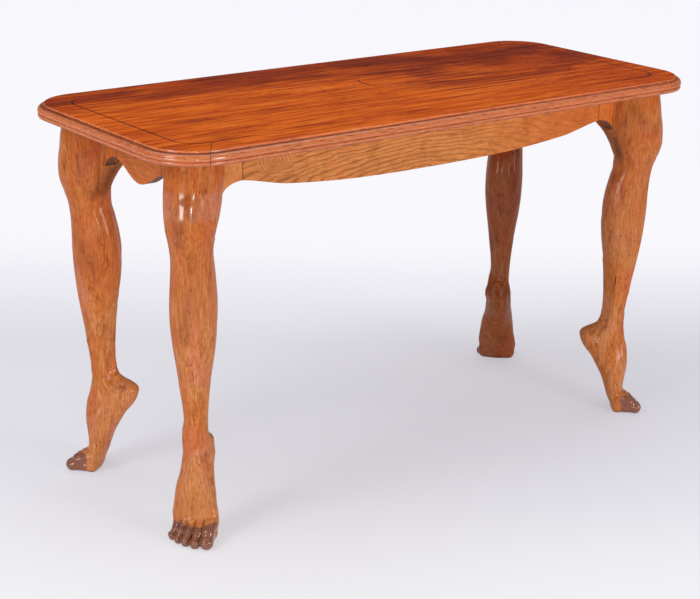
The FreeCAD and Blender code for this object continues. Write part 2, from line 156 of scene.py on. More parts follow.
class Sheet:
    """The sheet of nodes of one material, written as plain expressions."""

    def __init__(self, name: str) -> None:
        """Start an empty sheet.

        Args:
            name: what the material is called.
        """
        self.material = bpy.data.materials.new(name)
        self.material.use_nodes = True
        self.tree = self.material.node_tree
        self.tree.nodes.clear()

    def node(
        self, kind: str, settings: dict[str, Any], sockets: dict[Any, Any], output: Union[int, str] = 0
    ) -> Value:
        """Add one node.

        Args:
            kind: the node's type.
            settings: its settings, set first. "stops" gives a ramp's places and colours.
            sockets: what goes into its sockets, by name or by number.
            output: which of its outputs is wanted.

        Returns:
            The value at that output.
        """
        made = self.tree.nodes.new(kind)
        for name, wanted in settings.items():
            if name != "stops":
                setattr(made, name, wanted)
                continue
            for _ in wanted[2:]:
                made.color_ramp.elements.new(0.5)
            for element, (place, colour) in zip(made.color_ramp.elements, wanted):
                element.position = place
                element.color = colour
        for name, wanted in sockets.items():
            if isinstance(wanted, Value):
                self.tree.links.new(wanted.socket, made.inputs[name])
            else:
                made.inputs[name].default_value = wanted
        return Value(self, made.outputs[output])

    def maths(self, operation: str, first: Number, second: Number) -> Value:
        """One sum on two numbers."""
        return self.node("ShaderNodeMath", {"operation": operation}, {0: first, 1: second})

    def least(self, first: Number, second: Number) -> Value:
        """The smaller of two numbers."""
        return self.maths("MINIMUM", first, second)

    def most(self, first: Number, second: Number) -> Value:
        """The greater of two numbers."""
        return self.maths("MAXIMUM", first, second)

    def ramp(self, value: Number, low: float, high: float) -> Value:
        """Ease a number from 0 at one mark to 1 at another.

        Args:
            value: the number.
            low: where the result is 0. It may be the greater of the two marks.
            high: where the result is 1.

        Returns:
            The eased number.
        """
        flipped = low > high
        ends = (1.0, 0.0) if flipped else (0.0, 1.0)
        sockets = {
            "Value": value,
            "From Min": min(low, high),
            "From Max": max(low, high),
            "To Min": ends[0],
            "To Max": ends[1],
        }
        return self.node("ShaderNodeMapRange", {"interpolation_type": "SMOOTHSTEP"}, sockets)

    def place(self) -> Value:
        """The place on the object, in metres."""
        return self.node("ShaderNodeTexCoord", {}, {}, "Object")

    def parts(self, vector: Value) -> tuple[Value, Value, Value]:
        """The three numbers of a place."""
        made = self.node("ShaderNodeSeparateXYZ", {}, {0: vector})
        outputs = made.socket.node.outputs
        return Value(self, outputs[0]), Value(self, outputs[1]), Value(self, outputs[2])

    def joined(self, along: Number, across: Number, up: Number) -> Value:
        """A place made from three numbers."""
        return self.node("ShaderNodeCombineXYZ", {}, {0: along, 1: across, 2: up})

    def length(self, first: Value, second: Value, blunt: float = 0.0) -> Value:
        """The long side of a right triangle from its two short ones, blunted near zero."""
        squares = first * first + second * second
        return self.maths("POWER", squares + blunt if blunt else squares, 0.5)

    def stretched(self, place: Value, lumps: Triple, shift: Optional[Value]) -> Value:
        """A place stretched by its own factor each way, then moved along by a shift that varies."""
        spot = self.node("ShaderNodeVectorMath", {"operation": "MULTIPLY"}, {0: place, 1: lumps})
        if shift is None:
            return spot
        return self.node("ShaderNodeVectorMath", {"operation": "ADD"}, {0: spot, 1: self.joined(shift, 0.0, 0.0)})

    def cloud(self, place: Value, look: Cloud, shift: Optional[Value] = None) -> Value:
        """Soft uneven cloud.

        Args:
            place: where it is read.
            look: its lumps, layers and stirring.
            shift: how far it is moved along, in lumps.

        Returns:
            A number round 0.5.
        """
        sockets = {
            "Vector": self.stretched(place, look.lumps, shift),
            "Scale": 1.0,
            "Detail": look.detail,
            "Roughness": look.rough,
            "Distortion": look.swirl,
        }
        return self.node("ShaderNodeTexNoise", {}, sockets)

    def cells(self, place: Value, lumps: Triple, shift: Optional[Value] = None) -> Value:
        """The distance to the nearest of many scattered dots."""
        sockets = {"Vector": self.stretched(place, lumps, shift), "Scale": 1.0}
        return self.node("ShaderNodeTexVoronoi", {}, sockets, "Distance")

    def mark(self, name: str) -> Value:
        """A number that the piece's own mesh carries."""
        return self.node("ShaderNodeAttribute", {"attribute_name": name}, {}, "Fac")

    def gloss(self, facing: Number, edge: float) -> Value:
        """The strength of a polish that fades where the surface turns away.

        Args:
            facing: its strength where the surface is seen straight on.
            edge: the share of that which is left where it is seen edge on.

        Returns:
            The strength.
        """
        turned = self.node("ShaderNodeLayerWeight", {}, {"Blend": 0.5}, "Facing")
        return (1.0 - self.ramp(turned, 0.3, 0.85) * (1.0 - edge)) * facing

    def colours(self, value: Value, stops: Stops) -> Value:
        """Read a colour off a scale of shades, given as they look on a screen."""
        scale = [(place, tone(*shade)) for place, shade in stops]
        return self.node("ShaderNodeValToRGB", {"stops": scale}, {"Fac": value})

    def mixed(self, share: Number, first: Any, second: Any, way: str = "MIX") -> Value:
        """Lay one colour over another.

        Args:
            share: how much of the second colour shows.
            first: the colour below.
            second: the colour above.
            way: how the two are combined.

        Returns:
            The colour that results.
        """
        settings = {"data_type": "RGBA", "blend_type": way}
        return self.node("ShaderNodeMix", settings, {0: share, 6: first, 7: second}, 2)

    def painted(self, share: Number, colour: Value, shade: Triple) -> Value:
        """Cover a colour with one shade, given as it looks on a screen."""
        return self.mixed(share, colour, tone(*shade))

    def tinted(self, share: Number, colour: Value, tint: Triple) -> Value:
        """Multiply a colour by a tint."""
        return self.mixed(share, colour, (*tint, 1.0), "MULTIPLY")

    def washed(self, colour: Value, cloud: Value, wash: Wash) -> Value:
        """Tint a colour where the wash's cloud is thick."""
        return self.tinted(self.ramp(cloud, *wash.marks) * wash.strength, colour, wash.tint)

    def bump(self, height: Value, depth: float) -> Value:
        """A surface that is uneven by some height, in metres, for the shader's normal."""
        return self.node("ShaderNodeBump", {}, {"Height": height, "Distance": depth, "Strength": 1.0})

    def finish(self, constants: dict[str, Any], **links: Value) -> bpy.types.Material:
        """End the sheet with one plain shader.

        Args:
            constants: what is the same all over the surface.
            links: what varies, by the socket's name with _ for each space.

        Returns:
            The material.
        """
        sockets = dict(constants)
        for name, wanted in links.items():
            sockets[name.replace("_", " ")] = wanted
        shader = self.node("ShaderNodeBsdfPrincipled", {}, sockets, "BSDF")
        self.node_output(shader)
        return self.material

    def node_output(self, shader: Value) -> None:
        """Lead a shader to the material's output."""
        output = self.tree.nodes.new("ShaderNodeOutputMaterial")
        self.tree.links.new(shader.socket, output.inputs["Surface"])


@dataclass(frozen=True)
class Patch:
    """A long soft patch on the top: its middle, its reach each way, its strength and its tint."""

    middle: tuple[float, float]
    reach: tuple[float, float]
    strength: float
    tint: Triple


DARK_TINT = (0.55, 0.42, 0.42)
BRIGHT_TINT = (1.12, 1.22, 1.3)


@dataclass(frozen=True)
class TopWood:
    """The waxed wood of the top, its frame and its moulded edge, with the grain along the table."""

    framed: bool
    table_height: float = 0.726
    lip_height: float = 0.005
    # where the painted shade at the foot of the moulded edge begins and where it is full
    edge_shade_levels: tuple[float, float] = (0.7045, 0.702)
    panel_half_length: float = 0.561
    panel_half_width: float = 0.2095
    panel_corner: float = 0.045
    joint_width: float = 0.0026
    mitre_slope: float = 42.0 / 59.0
    mitre_outer: float = 0.552
    half_width: float = 0.2685
    seam_across: float = 0.018
    crack_middle: tuple[float, float] = (0.03, 0.036)
    crack_reach: tuple[float, float] = (0.032, 0.044)
    cloud: Cloud = Cloud((3.4, 9.0, 9.0), 4.0, 0.55, 0.7)
    streaks: Cloud = Cloud((6.0, 110.0, 110.0), 5.0, 0.62, 0.3)
    slow: Cloud = Cloud((2.0, 11.0, 11.0), 2.0, 0.45, 0.5)
    sway: Cloud = Cloud((14.0, 14.0, 14.0), 4.0, 0.6, 1.0)
    pores: Triple = (26.0, 260.0, 260.0)
    deep_tones: Stops = ((0.0, (110, 30, 1)), (0.5, (160, 55, 3)), (1.0, (188, 78, 10)))
    bright_tones: Stops = ((0.0, (158, 55, 2)), (0.5, (212, 90, 9)), (1.0, (234, 120, 30)))
    stain: Wash = Wash(Cloud((5.0, 16.0, 10.0), 3.0, 0.5, 1.4), (0.58, 0.74), 0.4, (0.5, 0.36, 0.3))
    side_fibre: Cloud = Cloud((60.0, 60.0, 900.0), 4.0, 0.65)
    sheen_side_tones: Stops = ((0.25, (166, 82, 42)), (0.5, (199, 108, 62)), (0.75, (219, 137, 90)))
    side_specks: Triple = (300.0, 300.0, 600.0)
    side_streaks: Wash = Wash(Cloud((14.0, 14.0, 260.0), 3.0, 0.6, 0.6), (0.5, 0.66), 0.6, (0.78, 0.58, 0.5))
    patches: tuple[Patch, ...] = (
        Patch((0.38, 0.13), (0.3, 0.15), 1.0, DARK_TINT),
        Patch((0.1, 0.19), (0.16, 0.05), 0.5, DARK_TINT),
        Patch((-0.43, -0.07), (0.09, 0.03), 0.4, DARK_TINT),
        Patch((0.14, 0.09), (0.12, 0.02), 0.4, DARK_TINT),
        Patch((-0.2, 0.0), (0.05, 0.012), 0.5, DARK_TINT),
        Patch((0.27, -0.02), (0.1, 0.02), 0.5, DARK_TINT),
        Patch((-0.3, 0.085), (0.17, 0.03), 0.8, BRIGHT_TINT),
        Patch((-0.38, 0.02), (0.12, 0.02), 0.5, BRIGHT_TINT),
        Patch((0.2, -0.12), (0.25, 0.04), 0.4, BRIGHT_TINT),
    )

    def panel_line(self, sheet: Sheet, along: Value, across: Value) -> Value:
        """How near a place is to the joint round the panel, 0 to 1."""
        out_x = abs(along) - (self.panel_half_length - self.panel_corner)
        out_y = abs(across) - (self.panel_half_width - self.panel_corner)
        far = sheet.length(sheet.most(out_x, 0.0), sheet.most(out_y, 0.0))
        gap = abs(far + sheet.least(sheet.most(out_x, out_y), 0.0) - self.panel_corner)
        return sheet.ramp(gap, self.joint_width, self.joint_width * 0.4) * sheet.ramp(abs(along), 0.3, 0.5)

    def mitre_line(self, sheet: Sheet, along: Value, across: Value) -> Value:
        """How near a place is to one of the four sloping joints of the frame, 0 to 1."""
        lead = abs(along) - (self.mitre_outer - self.mitre_slope * (self.half_width - abs(across)))
        return sheet.ramp(abs(lead), 0.001, 0.0003)

    def spot(self, sheet: Sheet, place: Value, middle: Sequence[float], reach: Sequence[float]) -> Value:
        """How far a place on the top is from the middle of a long patch, where 1 is on its rim."""
        along, across, _ = sheet.parts(place)
        return sheet.length((along - middle[0]) * (1.0 / reach[0]), (across - middle[1]) * (1.0 / reach[1]))

    def patched(self, sheet: Sheet, place: Value, colour: Value) -> Value:
        """Lay the darker and brighter patches and the one curved crack over the wood's colour."""
        sway = sheet.cloud(place, self.sway)
        along, across, _ = sheet.parts(place)
        colour = sheet.tinted(sheet.ramp(across + sway * 0.12, 0.08, 0.26) * 0.8, colour, (0.74, 0.62, 0.62))
        colour = sheet.tinted(sheet.ramp(along + sway * 0.2, 0.2, 0.62) * 0.8, colour, (0.8, 0.62, 0.5))
        for patch in self.patches:
            share = sheet.ramp(self.spot(sheet, place, patch.middle, patch.reach) + sway * 1.2, 1.6, 0.7)
            colour = sheet.tinted(share * patch.strength, colour, patch.tint)
        ring = abs(self.spot(sheet, place, self.crack_middle, self.crack_reach) - 1.0)
        crack = sheet.ramp(ring, 0.11, 0.04) * sheet.ramp(along, 0.018, 0.0)
        return sheet.painted(crack * 0.8, colour, (70, 22, 8))

    def figure(self, sheet: Sheet, place: Value) -> tuple[Value, Value, Value]:
        """The clouds, the fine streaks less the flame lines, and the pores."""
        flame = sheet.ramp(sheet.maths("SINE", sheet.cloud(place, self.slow) * 130.0, 0.0), 0.5, 1.0)
        grain = sheet.ramp(sheet.cloud(place, self.streaks), 0.28, 0.7) - flame * 0.16
        return sheet.cloud(place, self.cloud), grain, sheet.ramp(sheet.cells(place, self.pores), 0.3, 0.1)

    def side(self, sheet: Sheet, place: Value) -> Value:
        """The paler, pinker colour of the moulded edge, with its specks and streaks: a painted sheen that stands for
        the room's reflection in the wax, over the wood's fibre.
        """
        side = sheet.colours(sheet.cloud(place, self.side_fibre), self.sheen_side_tones)
        specks = sheet.ramp(sheet.cells(place, self.side_specks), 0.28, 0.1)
        side = sheet.painted(specks * 0.4, side, (244, 186, 142))
        return sheet.washed(side, sheet.cloud(place, self.side_streaks.cloud), self.side_streaks)

    def edged(self, sheet: Sheet, place: Value, colour: Value) -> tuple[Value, Value, Value]:
        """The frame's colour with its moulded edge and a painted highlight on the lip, its joints and the painted
        shade in the groove below the lip and at the edge's foot, and the strength of its polish.
        """
        along, across, up = sheet.parts(place)
        lip_low = self.table_height - self.lip_height
        # below the lip the paler edge colour takes over, a painted sheen
        colour = sheet.mixed(sheet.ramp(up, lip_low + 0.0016, lip_low + 0.0006), colour, self.side(sheet, place))
        # a pale line painted along the rounded top of the lip: a painted highlight
        lip_highlight = sheet.ramp(abs(up - (self.table_height - 0.0018)), 0.0016, 0.0004)
        colour = sheet.painted(lip_highlight * 0.55, colour, (218, 142, 104))
        # painted shade in the groove below the lip, stronger towards the left end
        groove = sheet.ramp(abs(up - lip_low), 0.0012, 0.0004) * (0.62 - sheet.ramp(along, -0.6, 0.2) * 0.24)
        # painted shade along the lowest few millimetres of the moulded edge, where it turns under the top
        foot = sheet.ramp(up, *self.edge_shade_levels) * 0.5
        lines = sheet.most(self.panel_line(sheet, along, across), self.mitre_line(sheet, along, across))
        lip = sheet.ramp(up, self.table_height - 0.0001, self.table_height - 0.0012)
        return colour, sheet.most(lines, sheet.most(groove, foot)), sheet.gloss(lip * 0.92 + 0.08, 0.1)

    def material(self, name: str) -> bpy.types.Material:
        """Make the material."""
        sheet = Sheet(name)
        place = sheet.place()
        along, across, _ = sheet.parts(place)
        cloud, grain, pores = self.figure(sheet, place)
        band = sheet.ramp(abs(across + along * 0.02 - 0.02), 0.1, 0.02)
        near = sheet.most(sheet.ramp(across, -0.04, -0.15), band * sheet.ramp(along, 0.5, -0.2))
        light = sheet.ramp(cloud + near * 0.28, 0.42, 0.64)
        deep, bright = sheet.colours(grain, self.deep_tones), sheet.colours(grain, self.bright_tones)
        colour = sheet.washed(sheet.mixed(light, deep, bright), sheet.cloud(place, self.stain.cloud), self.stain)
        colour = self.patched(sheet, place, colour)
        if self.framed:
            colour, lines, polish = self.edged(sheet, place, colour)
        else:
            seam = sheet.ramp(abs(across - self.seam_across), 0.0006, 0.0002) * 0.6
            lines = sheet.most(seam, self.panel_line(sheet, along, across))
            polish = sheet.gloss(0.08, 0.1)
        colour = sheet.painted(pores * 0.62, colour, (84, 26, 8))
        # the dark joints, and on the frame also the painted shade of the lip's groove and of the edge's foot
        colour = sheet.painted(lines * 0.85, colour, (52, 16, 8))
        return sheet.finish(
            {"Coat Roughness": 0.12, "Specular IOR Level": 0.02},
            Coat_Weight=polish,
            Base_Color=colour,
            Roughness=cloud * 0.2 + pores * 0.15 + 0.28,
            Normal=sheet.bump(grain * 0.3 - pores * 0.5 - lines * 1.2, 0.00025),
        )


@dataclass(frozen=True)
class ApronWood:
    """The yellow brown wood of the aprons and the ears, with dark seams at their joints and painted shade on their
    undersides.
    """

    ears: bool
    joints: tuple[float, float]
    face: float
    turned: bool = False
    underside_shade_level: float = 0.644
    ring_middle: tuple[float, float] = (-0.02, 0.59)
    knot_middle: tuple[float, float] = (-0.36, 0.668)
    mottle: Cloud = Cloud((26.0, 26.0, 26.0), 5.0, 0.6, 0.8)
    ear_sway: Cloud = Cloud((22.0, 22.0, 14.0), 3.0)
    ear_rings: Cloud = Cloud((210.0, 210.0, 17.0), 4.0, 0.6)
    ear_fibre: Cloud = Cloud((420.0, 420.0, 60.0), 3.0, 0.6)
    sway: Cloud = Cloud((6.0, 24.0, 22.0), 4.0, 0.55, 0.5)
    fibre: Cloud = Cloud((40.0, 420.0, 420.0), 4.0, 0.6)
    dots: Triple = (330.0, 330.0, 330.0)
    tones: Stops = ((0.3, (160, 86, 34)), (0.45, (194, 116, 54)), (0.6, (214, 139, 74)), (0.75, (226, 158, 96)))

    def material(self, name: str) -> bpy.types.Material:
        """Make the material."""
        sheet = Sheet(name)
        place = sheet.place()
        mottle = sheet.cloud(place, self.mottle)
        along, across, up = sheet.parts(place)
        if self.turned:
            along, across = across, along
            place = sheet.joined(along, across, up)
        lines, fibre = self.upright(sheet, place) if self.ears else self.arched(sheet, place)
        colour = sheet.colours(fibre * 0.55 + mottle * 0.45, self.tones)
        warm = 0.75
        if not self.turned:
            warm = sheet.most(sheet.ramp(along, 0.0, 0.42) * 0.85, sheet.ramp(mottle, 0.52, 0.68) * 0.5)
        colour = sheet.tinted(warm, colour, (0.94, 0.6, 0.34))
        colour = sheet.painted(lines, colour, (104, 56, 22))
        colour = sheet.painted(sheet.ramp(sheet.cells(place, self.dots), 0.2, 0.08) * 0.4, colour, (104, 56, 24))
        gap = sheet.least(abs(abs(along) - self.joints[0]), abs(abs(along) - self.joints[1]))
        seam = sheet.ramp(gap, 0.0014, 0.0005)
        colour = sheet.painted(seam * 0.75, colour, (58, 28, 14))
        # painted shade: faces set back from the outer face, such as the undersides of the lower edges, are darkened
        # below the top
        depth = self.face - abs(across)
        under = sheet.ramp(depth, 0.0002, 0.0016) * sheet.ramp(depth, 0.0215, 0.02)
        under = under * sheet.ramp(up, self.underside_shade_level, self.underside_shade_level - 0.004)
        colour = sheet.painted(under * 0.8, colour, (78, 46, 30))
        lap = sheet.ramp(abs(along), self.joints[1] + 0.0005, self.joints[1] + 0.0015)
        colour = sheet.painted(lap * 0.7, colour, (140, 76, 36))
        return sheet.finish(
            {"Coat Roughness": 0.15, "Specular IOR Level": 0.08},
            Coat_Weight=sheet.gloss(0.2, 0.0),
            Base_Color=colour,
            Roughness=mottle * 0.2 + 0.32,
            Normal=sheet.bump(fibre * 0.4 - lines * 0.4 - seam, 0.0003),
        )

    def upright(self, sheet: Sheet, place: Value) -> tuple[Value, Value]:
        """Grain that stands, as on the ears: its dark lines and its fibre, each 0 to 1."""
        rings = sheet.cloud(place, self.ear_rings, sheet.cloud(place, self.ear_sway) * 6.0)
        return sheet.ramp(rings, 0.6, 0.72) * 0.5, sheet.cloud(place, self.ear_fibre)

    def arched(self, sheet: Sheet, place: Value) -> tuple[Value, Value]:
        """Grain that arches over the length of the board: its dark lines and its fibre, each 0 to 1."""
        along, _, up = sheet.parts(place)
        sway = sheet.cloud(place, self.sway)
        reach = sheet.length((along - self.ring_middle[0]) * 0.2, up - self.ring_middle[1], 0.00002)
        wave = sheet.maths("SINE", (reach * 130.0 + sway * 4.6) * FULL_TURN, 0.0)
        knot = sheet.length(along - self.knot_middle[0], (up - self.knot_middle[1]) * 1.5)
        swirl = sheet.maths("SINE", (knot * 150.0 + sway * 7.0) * FULL_TURN, 0.0)
        share = sheet.ramp(knot, 0.05, 0.025)
        both = wave * (1.0 - share) + swirl * share
        strength = 0.25 if self.turned else sheet.ramp(along, 0.4, -0.1) * 0.4 + 0.15
        fibre = sheet.cloud(place, self.fibre)
        return sheet.ramp(both + (fibre - 0.5) * 1.6, 0.35, 1.0) * strength, fibre


@dataclass(frozen=True)
class LegWood:
    """The mottled wood of the carved legs. The mesh's own marks darken cracks, stains and toes, and paint shade in
    creases and below the ears.
    """

    sway: Cloud = Cloud((10.0, 10.0, 10.0), 3.0, 0.5, 0.8)
    fibre: Cloud = Cloud((300.0, 300.0, 24.0), 4.0, 0.6)
    tones: Stops = ((0.3, (172, 102, 54)), (0.45, (194, 120, 66)), (0.58, (204, 132, 80)), (0.75, (214, 148, 96)))
    patches: Wash = Wash(Cloud((12.0, 12.0, 6.0), 4.0, 0.6, 1.0), (0.46, 0.6), 0.8, (0.95, 0.72, 0.42))
    blush: Wash = Wash(Cloud((17.0, 17.0, 9.0), 3.0, 0.5, 0.9), (0.48, 0.62), 0.8, (1.02, 0.92, 1.3))
    smudges: Wash = Wash(Cloud((48.0, 48.0, 17.0), 4.0, 0.65, 0.6), (0.53, 0.7), 0.7, (0.6, 0.46, 0.36))
    mottle: Wash = Wash(Cloud((170.0, 170.0, 90.0), 3.0, 0.6, 0.5), (0.5, 0.66), 0.5, (0.66, 0.56, 0.46))
    ticks: Triple = (200.0, 200.0, 58.0)
    dots: Triple = (420.0, 420.0, 130.0)

    def material(self, name: str) -> bpy.types.Material:
        """Make the material."""
        sheet = Sheet(name)
        place = sheet.place()
        along, across, up = sheet.parts(place)
        sway = sheet.cloud(place, self.sway)
        fine = sheet.cloud(place, self.fibre, sway * 3.0)
        colour = sheet.colours(fine, self.tones)
        colour = sheet.tinted(sheet.ramp(up, 0.3, 0.54) * 0.8 + 0.1, colour, (0.88, 0.68, 0.44))
        clouds = []
        for wash in (self.patches, self.blush, self.smudges, self.mottle):
            clouds.append(sheet.cloud(place, wash.cloud))
            colour = sheet.washed(colour, clouds[-1], wash)
        patch, _, smudge, _ = clouds
        ticks = sheet.ramp(sheet.cells(place, self.ticks, sway * 4.0), 0.22, 0.1) * sheet.ramp(smudge, 0.4, 0.58)
        dots = sheet.ramp(sheet.cells(place, self.dots), 0.24, 0.1)
        dark, stain, toes = (sheet.mark(mark) for mark in ("dark", "stain", "toes"))
        colour = sheet.painted(dots * 0.5, colour, (104, 52, 24))
        colour = sheet.painted(ticks * 0.85, colour, (76, 34, 16))
        colour = sheet.painted(toes * 0.86, colour, (123, 74, 57))
        # the stain mark: real stains, and over the whole back right leg mostly painted shade
        colour = sheet.tinted(stain, colour, (0.58, 0.5, 0.52))
        # painted shade in the creases, between the toes and below the ears, with the dark of the real cracks and knots
        colour = sheet.painted(dark, colour, (44, 18, 10))
        knee = sheet.ramp(up, 0.592, 0.604) * sheet.ramp(up, 0.652, 0.64) * sheet.ramp(along + across, -0.6, -0.68)
        wax = sheet.gloss(sheet.most(sheet.ramp(up, 0.66, 0.64) * 0.22, knee), 0.06)
        return sheet.finish(
            {"Coat Roughness": 0.1, "Specular IOR Level": 0.07},
            Coat_Weight=sheet.most(wax, toes * 0.9),
            Base_Color=colour,
            Roughness=patch * 0.2 + dark * 0.3 + 0.26,
            Normal=sheet.bump(fine * 0.5 + smudge * 0.5 - dots * 0.6 - ticks * 0.8, 0.0003),
        )


@dataclass(frozen=True)
class HiddenWood:
    """Plain sawn wood under the top, with the grain along one axis of the table."""

    across_table: bool
    tones: Stops = ((0.25, (132, 82, 46)), (0.5, (168, 114, 70)), (0.8, (190, 140, 94)))

    def material(self, name: str) -> bpy.types.Material:
        """Make the material."""
        sheet = Sheet(name)
        lumps = (160.0, 6.0, 160.0) if self.across_table else (60.0, 60.0, 160.0)
        grain = sheet.cloud(sheet.place(), Cloud(lumps, 5.0, 0.6, 0.3))
        colour = sheet.colours(grain, self.tones)
        return sheet.finish(
            {"IOR": 1.45}, Base_Color=colour, Roughness=grain * 0.2 + 0.55, Normal=sheet.bump(grain, 0.0004)
        )


@dataclass(frozen=True)
class Steel:
    """The grey steel of the screws."""

    cloud: Cloud = Cloud((900.0, 900.0, 900.0), 4.0)
    tones: Stops = ((0.3, (112, 110, 106)), (0.7, (168, 166, 160)))

    def material(self, name: str) -> bpy.types.Material:
        """Make the material."""
        sheet = Sheet(name)
        cloud = sheet.cloud(sheet.place(), self.cloud)
        return sheet.finish(
            {"Metallic": 1.0}, Base_Color=sheet.colours(cloud, self.tones), Roughness=cloud * 0.3 + 0.25
        )


@dataclass(frozen=True)
class PaleFloor:
    """The plain pale floor, which keeps the table's shadow. Its tones run away from the camera's place and are greyer
    in a band where the table stands and just behind it, as painted shade.
    """

    heading: float
    stand: tuple[float, float]
    glow: float = 0.55
    far_glow: float = 0.97
    reach: float = 10.0
    # painted shade: greyer tones in a band where the table stands and just behind it
    tones: Stops = (
        (0.24, (250, 250, 253)),
        (0.264, (246, 246, 251)),
        (0.283, (239, 239, 246)),
        (0.305, (235, 234, 242)),
        (0.332, (231, 230, 238)),
        (0.365, (230, 229, 236)),
        (0.4, (242, 241, 249)),
        (0.44, (250, 249, 254)),
        (0.87, (250, 249, 255)),
    )

    def material(self, name: str) -> bpy.types.Material:
        """Make the material."""
        sheet = Sheet(name)
        along, across, _ = sheet.parts(sheet.place())
        turn = math.radians(self.heading)
        far = (along - self.stand[0]) * math.sin(turn) + (across - self.stand[1]) * math.cos(turn)
        colour = sheet.colours(far / self.reach, self.tones)
        paint = sheet.node("ShaderNodeBsdfDiffuse", {}, {"Color": colour}, "BSDF")
        light = sheet.node("ShaderNodeEmission", {}, {"Color": colour, "Strength": 1.0}, "Emission")
        path = sheet.node("ShaderNodeLightPath", {}, {}, "Is Camera Ray")
        outputs = path.socket.node.outputs
        seen = path + Value(sheet, outputs["Is Glossy Ray"]) + Value(sheet, outputs["Is Transmission Ray"])
        share = seen * (sheet.ramp(far, 3.7, 4.7) * (self.far_glow - self.glow) + self.glow)
        sheet.node_output(sheet.node("ShaderNodeMixShader", {}, {0: share, 1: paint, 2: light}, "Shader"))
        return sheet.material


@dataclass(frozen=True)
class Form:
    """A raised or sunk form of the carving, along a line on the leg.

    A point of the line is an angle and a height, with 0 degrees at the shin, 90 at the inner side and 180 at
    the calf, or it is a place of its own: outwards, towards the big toe, and up. All in millimetres.
    """

    lift: float
    width: float
    path: tuple[tuple[float, ...], ...]


@dataclass(frozen=True)
class Toe:
    """A toe from its knuckle over its middle joint to its tip, with a radius at each, in millimetres.

    The pad is the ball under the knuckle: outwards, towards the big toe, and its radius.
    """

    spots: tuple[tuple[float, float, float], ...]
    radii: tuple[float, float, float]
    pad: tuple[float, float, float]
    nail: float


class Corner(Enum):
    """The table's corners: name, side along the length, side along the width, and whether the foot is a left one."""

    FRONT_LEFT = ("front_left", -1, -1, False)
    FRONT_RIGHT = ("front_right", 1, -1, True)
    BACK_LEFT = ("back_left", -1, 1, False)
    BACK_RIGHT = ("back_right", 1, 1, True)


# height, then how far the leg reaches back, forward, to the outer side and to the inner side
LEVELS = (
    (0.0, -4.8, 28.2, 42.4, 28.7),
    (11.9, -1.3, 33.8, 46.7, 32.7),
    (30.1, 6.8, 29.7, 45.7, 35.4),
    (51.9, 14.2, 26.9, 47.6, 32.5),
    (75.0, 22.8, 28.8, 45.5, 29.8),
    (98.1, 35.2, 31.7, 42.3, 28.5),
    (117.8, 46.6, 31.4, 37.4, 25.2),
    (138.1, 62.8, 28.4, 35.1, 22.2),
    (154.9, 69.4, 23.1, 34.2, 21.5),
    (171.7, 68.2, 19.7, 35.3, 18.3),
    (185.8, 42.0, 17.5, 33.5, 14.7),
    (199.8, 31.0, 18.4, 31.9, 14.3),
    (217.3, 27.6, 18.6, 28.7, 14.5),
    (245.4, 26.7, 22.1, 29.7, 16.0),
    (280.4, 28.0, 26.0, 34.2, 19.0),
    (320.4, 31.2, 32.8, 39.4, 24.7),
    (360.3, 38.3, 39.2, 45.1, 30.1),
    (400.3, 42.8, 43.8, 49.0, 32.9),
    (440.2, 44.1, 46.1, 49.2, 33.5),
    (480.2, 39.5, 46.4, 46.8, 31.4),
    (510.3, 32.9, 48.0, 44.8, 30.1),
    (534.9, 27.8, 51.6, 45.1, 29.5),
    (555.2, 28.6, 57.6, 47.1, 31.8),
    (574.8, 31.0, 65.0, 49.8, 35.9),
    (595.9, 37.5, 67.5, 52.7, 40.5),
    (616.9, 42.2, 66.4, 53.9, 43.6),
    (640.0, 45.3, 63.5, 54.1, 45.3),
    (662.4, 45.0, 60.9, 53.0, 47.5),
    (682.1, 45.0, 57.5, 52.5, 47.5),
    (701.0, 45.0, 55.5, 52.5, 47.5),
)

